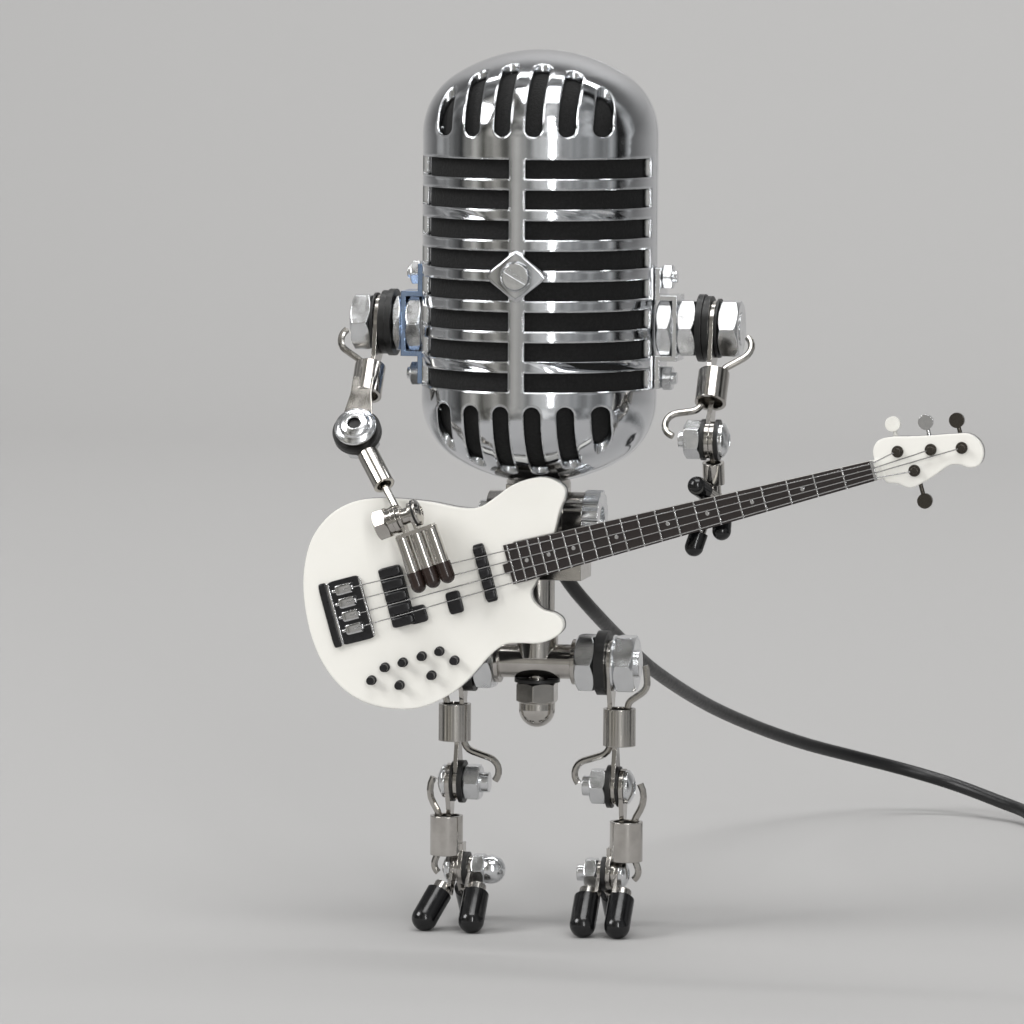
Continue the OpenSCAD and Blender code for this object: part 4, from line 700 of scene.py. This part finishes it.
# In metres: where the paper fades out for metal on the near side, by its way from the origin, and
# where along Y the far side begins, which metal always sees
TABLE_REACH = (0.26, 0.34)
TABLE_BACK = (0.2, 0.4)


def paper_material():
    """Matt grey paper. From behind it lets the camera through to the object, and metal sees past
    the near edge of the table that it stands for."""
    paper = new_material("matt_grey_paper", PAPER, 0.9)
    own = add_node(paper, "ShaderNodeNewGeometry")
    path = add_node(paper, "ShaderNodeLightPath")
    behind = add_node(paper, "ShaderNodeMath", {"operation": "MULTIPLY"}, {
        0: own.outputs["Backfacing"], 1: path.outputs["Is Camera Ray"]})
    where = add_node(paper, "ShaderNodeTexCoord")
    spot = add_node(paper, "ShaderNodeSeparateXYZ", (), {0: where.outputs["Object"]})
    reach = add_node(paper, "ShaderNodeVectorMath", {"operation": "LENGTH"}, {
        0: where.outputs["Object"]})
    far = add_node(paper, "ShaderNodeMapRange", (), {
        "Value": reach.outputs["Value"], "From Min": TABLE_REACH[0], "From Max": TABLE_REACH[1]})
    front = add_node(paper, "ShaderNodeMapRange", (), {
        "Value": spot.outputs["Y"], "From Min": TABLE_BACK[0], "From Max": TABLE_BACK[1],
        "To Min": 1.0, "To Max": 0.0})
    edge = add_node(paper, "ShaderNodeMath", {"operation": "MULTIPLY"}, {
        0: far.outputs["Result"], 1: front.outputs["Result"]})
    mirror = add_node(paper, "ShaderNodeMath", {"operation": "MULTIPLY"}, {
        0: edge.outputs["Value"], 1: path.outputs["Is Glossy Ray"]})
    open_to = add_node(paper, "ShaderNodeMath", {"operation": "MAXIMUM"}, {
        0: behind.outputs["Value"], 1: mirror.outputs["Value"]})
    clear = add_node(paper, "ShaderNodeBsdfTransparent")
    either = add_node(paper, "ShaderNodeMixShader", (), {
        0: open_to.outputs["Value"], 1: shader_of(paper).outputs["BSDF"],
        2: clear.outputs["BSDF"]})
    tree = paper.node_tree
    tree.links.new(either.outputs["Shader"], tree.nodes["Material Output"].inputs["Surface"])
    return paper


def make_backdrop():
    """A paper sweep: a level floor, a quarter turn, then a wall, extruded along X."""
    turn = np.linspace(0, np.pi / 2, TURN_ROWS)
    y = np.concatenate([FLOOR_Y, TURN_Y + TURN_R * np.sin(turn), [TURN_Y + TURN_R]])
    z = np.concatenate([np.zeros(len(FLOOR_Y)), TURN_R - TURN_R * np.cos(turn), [WALL_TOP]])
    across, along = np.meshgrid(np.linspace(-HALF_WIDTH, HALF_WIDTH, SWEEP_COLUMNS), y)
    points = np.stack([across, along, np.broadcast_to(z[:, None], across.shape)], axis=-1)
    mesh = bpy.data.meshes.new("backdrop")
    mesh.from_pydata(points.reshape(-1, 3), [], grid_faces(len(y), SWEEP_COLUMNS))
    mesh.shade_smooth()
    made = add_object("backdrop", mesh)
    mesh.materials.append(paper_material())


make_backdrop()

# ---------- Light ----------

# Name, where it stands, what it faces, width and height in metres, power in watts
LIGHTS = [("tall_strip", (0.70, -1.75, 0.62), (0, 0, 0.16), (0.14, 1.3), 11),
          ("left_softbox", (-1.5, -0.9, 1.2), (0, 0, 0.1), (0.9, 0.9), 25),
          ("top_softbox", (0.2, -0.5, 1.9), (0, 0.1, 0.1), (1.3, 1.0), 20),
          ("backdrop_wash", (0.0, 0.9, 2.2), (0, 2.2, 0.7), (2.5, 0.5), 42)]
EVEN_COLOUR, EVEN_STRENGTH = "#C6C7C8", 0.66
# Panels of the room round the horizon that metal sees: share of a full turn from -X by way of the
# front, and colour
PANELS = [(0.0, "#8A8A89"), (0.05, "#333333"), (0.085, "#C9C7C1"), (0.12, "#45443F"),
          (0.155, "#CFCCC4"), (0.19, "#54534F"), (0.215, "#BDBBB6"), (0.25, "#8F8F8D"),
          (0.285, "#E6E6E4"), (0.33, "#C9C9C8"), (0.37, "#8C8D8D"), (0.43, "#C4C5C5"),
          (0.485, "#A0A1A1"), (0.505, "#1C1C1C"), (0.53, "#262626"), (0.55, "#B9BABA"),
          (0.62, "#6F7070"), (0.72, "#A9A9A8"), (0.86, "#777777"), (0.94, "#A5A5A4")]
ROOM_STRENGTH = 1.15
# The room's clouds: scale on the sphere of directions, detail, and the shades that they run through
CLOUD_SCALE, CLOUD_DETAIL, CLOUD_FADE = 3.6, 2.5, 0.5
CLOUD_FROM, CLOUD_TO = (0.38, 0.6), (0.35, 1.1)


def area_light(name, stand, target, size, power):
    """A rectangular softbox that faces its target."""
    data = bpy.data.lights.new(name, "AREA")
    data.shape = "RECTANGLE"
    data.size, data.size_y = size
    data.energy = power
    made = add_object(name, data)
    made.location = stand
    made.rotation_mode = "QUATERNION"
    made.rotation_quaternion = (Vector(target) - Vector(stand)).to_track_quat("-Z", "Y")


def make_world():
    """Even grey light; mirrors see a room of upright pale and dark panels instead, a little
    clouded."""
    world = bpy.data.worlds.new("studio")
    bpy.context.scene.world = world
    world.use_nodes = True
    even = world.node_tree.nodes["Background"]
    even.inputs["Color"].default_value = linear(EVEN_COLOUR)
    even.inputs["Strength"].default_value = EVEN_STRENGTH
    where = add_node(world, "ShaderNodeTexCoord")
    round_turn = add_node(world, "ShaderNodeTexGradient", {"gradient_type": "RADIAL"}, {
        "Vector": where.outputs["Generated"]})
    steps = add_node(world, "ShaderNodeValToRGB", (), {"Fac": round_turn.outputs["Fac"]})
    ramp = steps.color_ramp
    ramp.elements.remove(ramp.elements[1])
    ramp.elements[0].position, ramp.elements[0].color = PANELS[0][0], linear(PANELS[0][1])
    for position, code in PANELS[1:]:
        ramp.elements.new(position).color = linear(code)
    clouds = add_node(world, "ShaderNodeTexNoise", (), {
        "Vector": where.outputs["Generated"], "Scale": CLOUD_SCALE, "Detail": CLOUD_DETAIL,
        "Roughness": CLOUD_FADE})
    shade = add_node(world, "ShaderNodeMapRange", (), {
        "Value": clouds.outputs["Fac"], "From Min": CLOUD_FROM[0], "From Max": CLOUD_FROM[1],
        "To Min": CLOUD_TO[0], "To Max": CLOUD_TO[1]})
    mix = add_node(world, "ShaderNodeVectorMath", {"operation": "SCALE"}, {
        0: steps.outputs["Color"], "Scale": shade.outputs["Result"]})
    room = add_node(world, "ShaderNodeBackground", (), {
        "Color": mix.outputs["Vector"], "Strength": ROOM_STRENGTH})
    path = add_node(world, "ShaderNodeLightPath")
    both = add_node(world, "ShaderNodeMixShader", (), {"Fac": path.outputs["Is Glossy Ray"]})
    links = world.node_tree.links
    links.new(even.outputs["Background"], both.inputs[1])
    links.new(room.outputs["Background"], both.inputs[2])
    links.new(both.outputs["Shader"], world.node_tree.nodes["World Output"].inputs["Surface"])


for light in LIGHTS:
    area_light(*light)
make_world()

bpy.context.scene.view_settings.view_transform = "Standard"
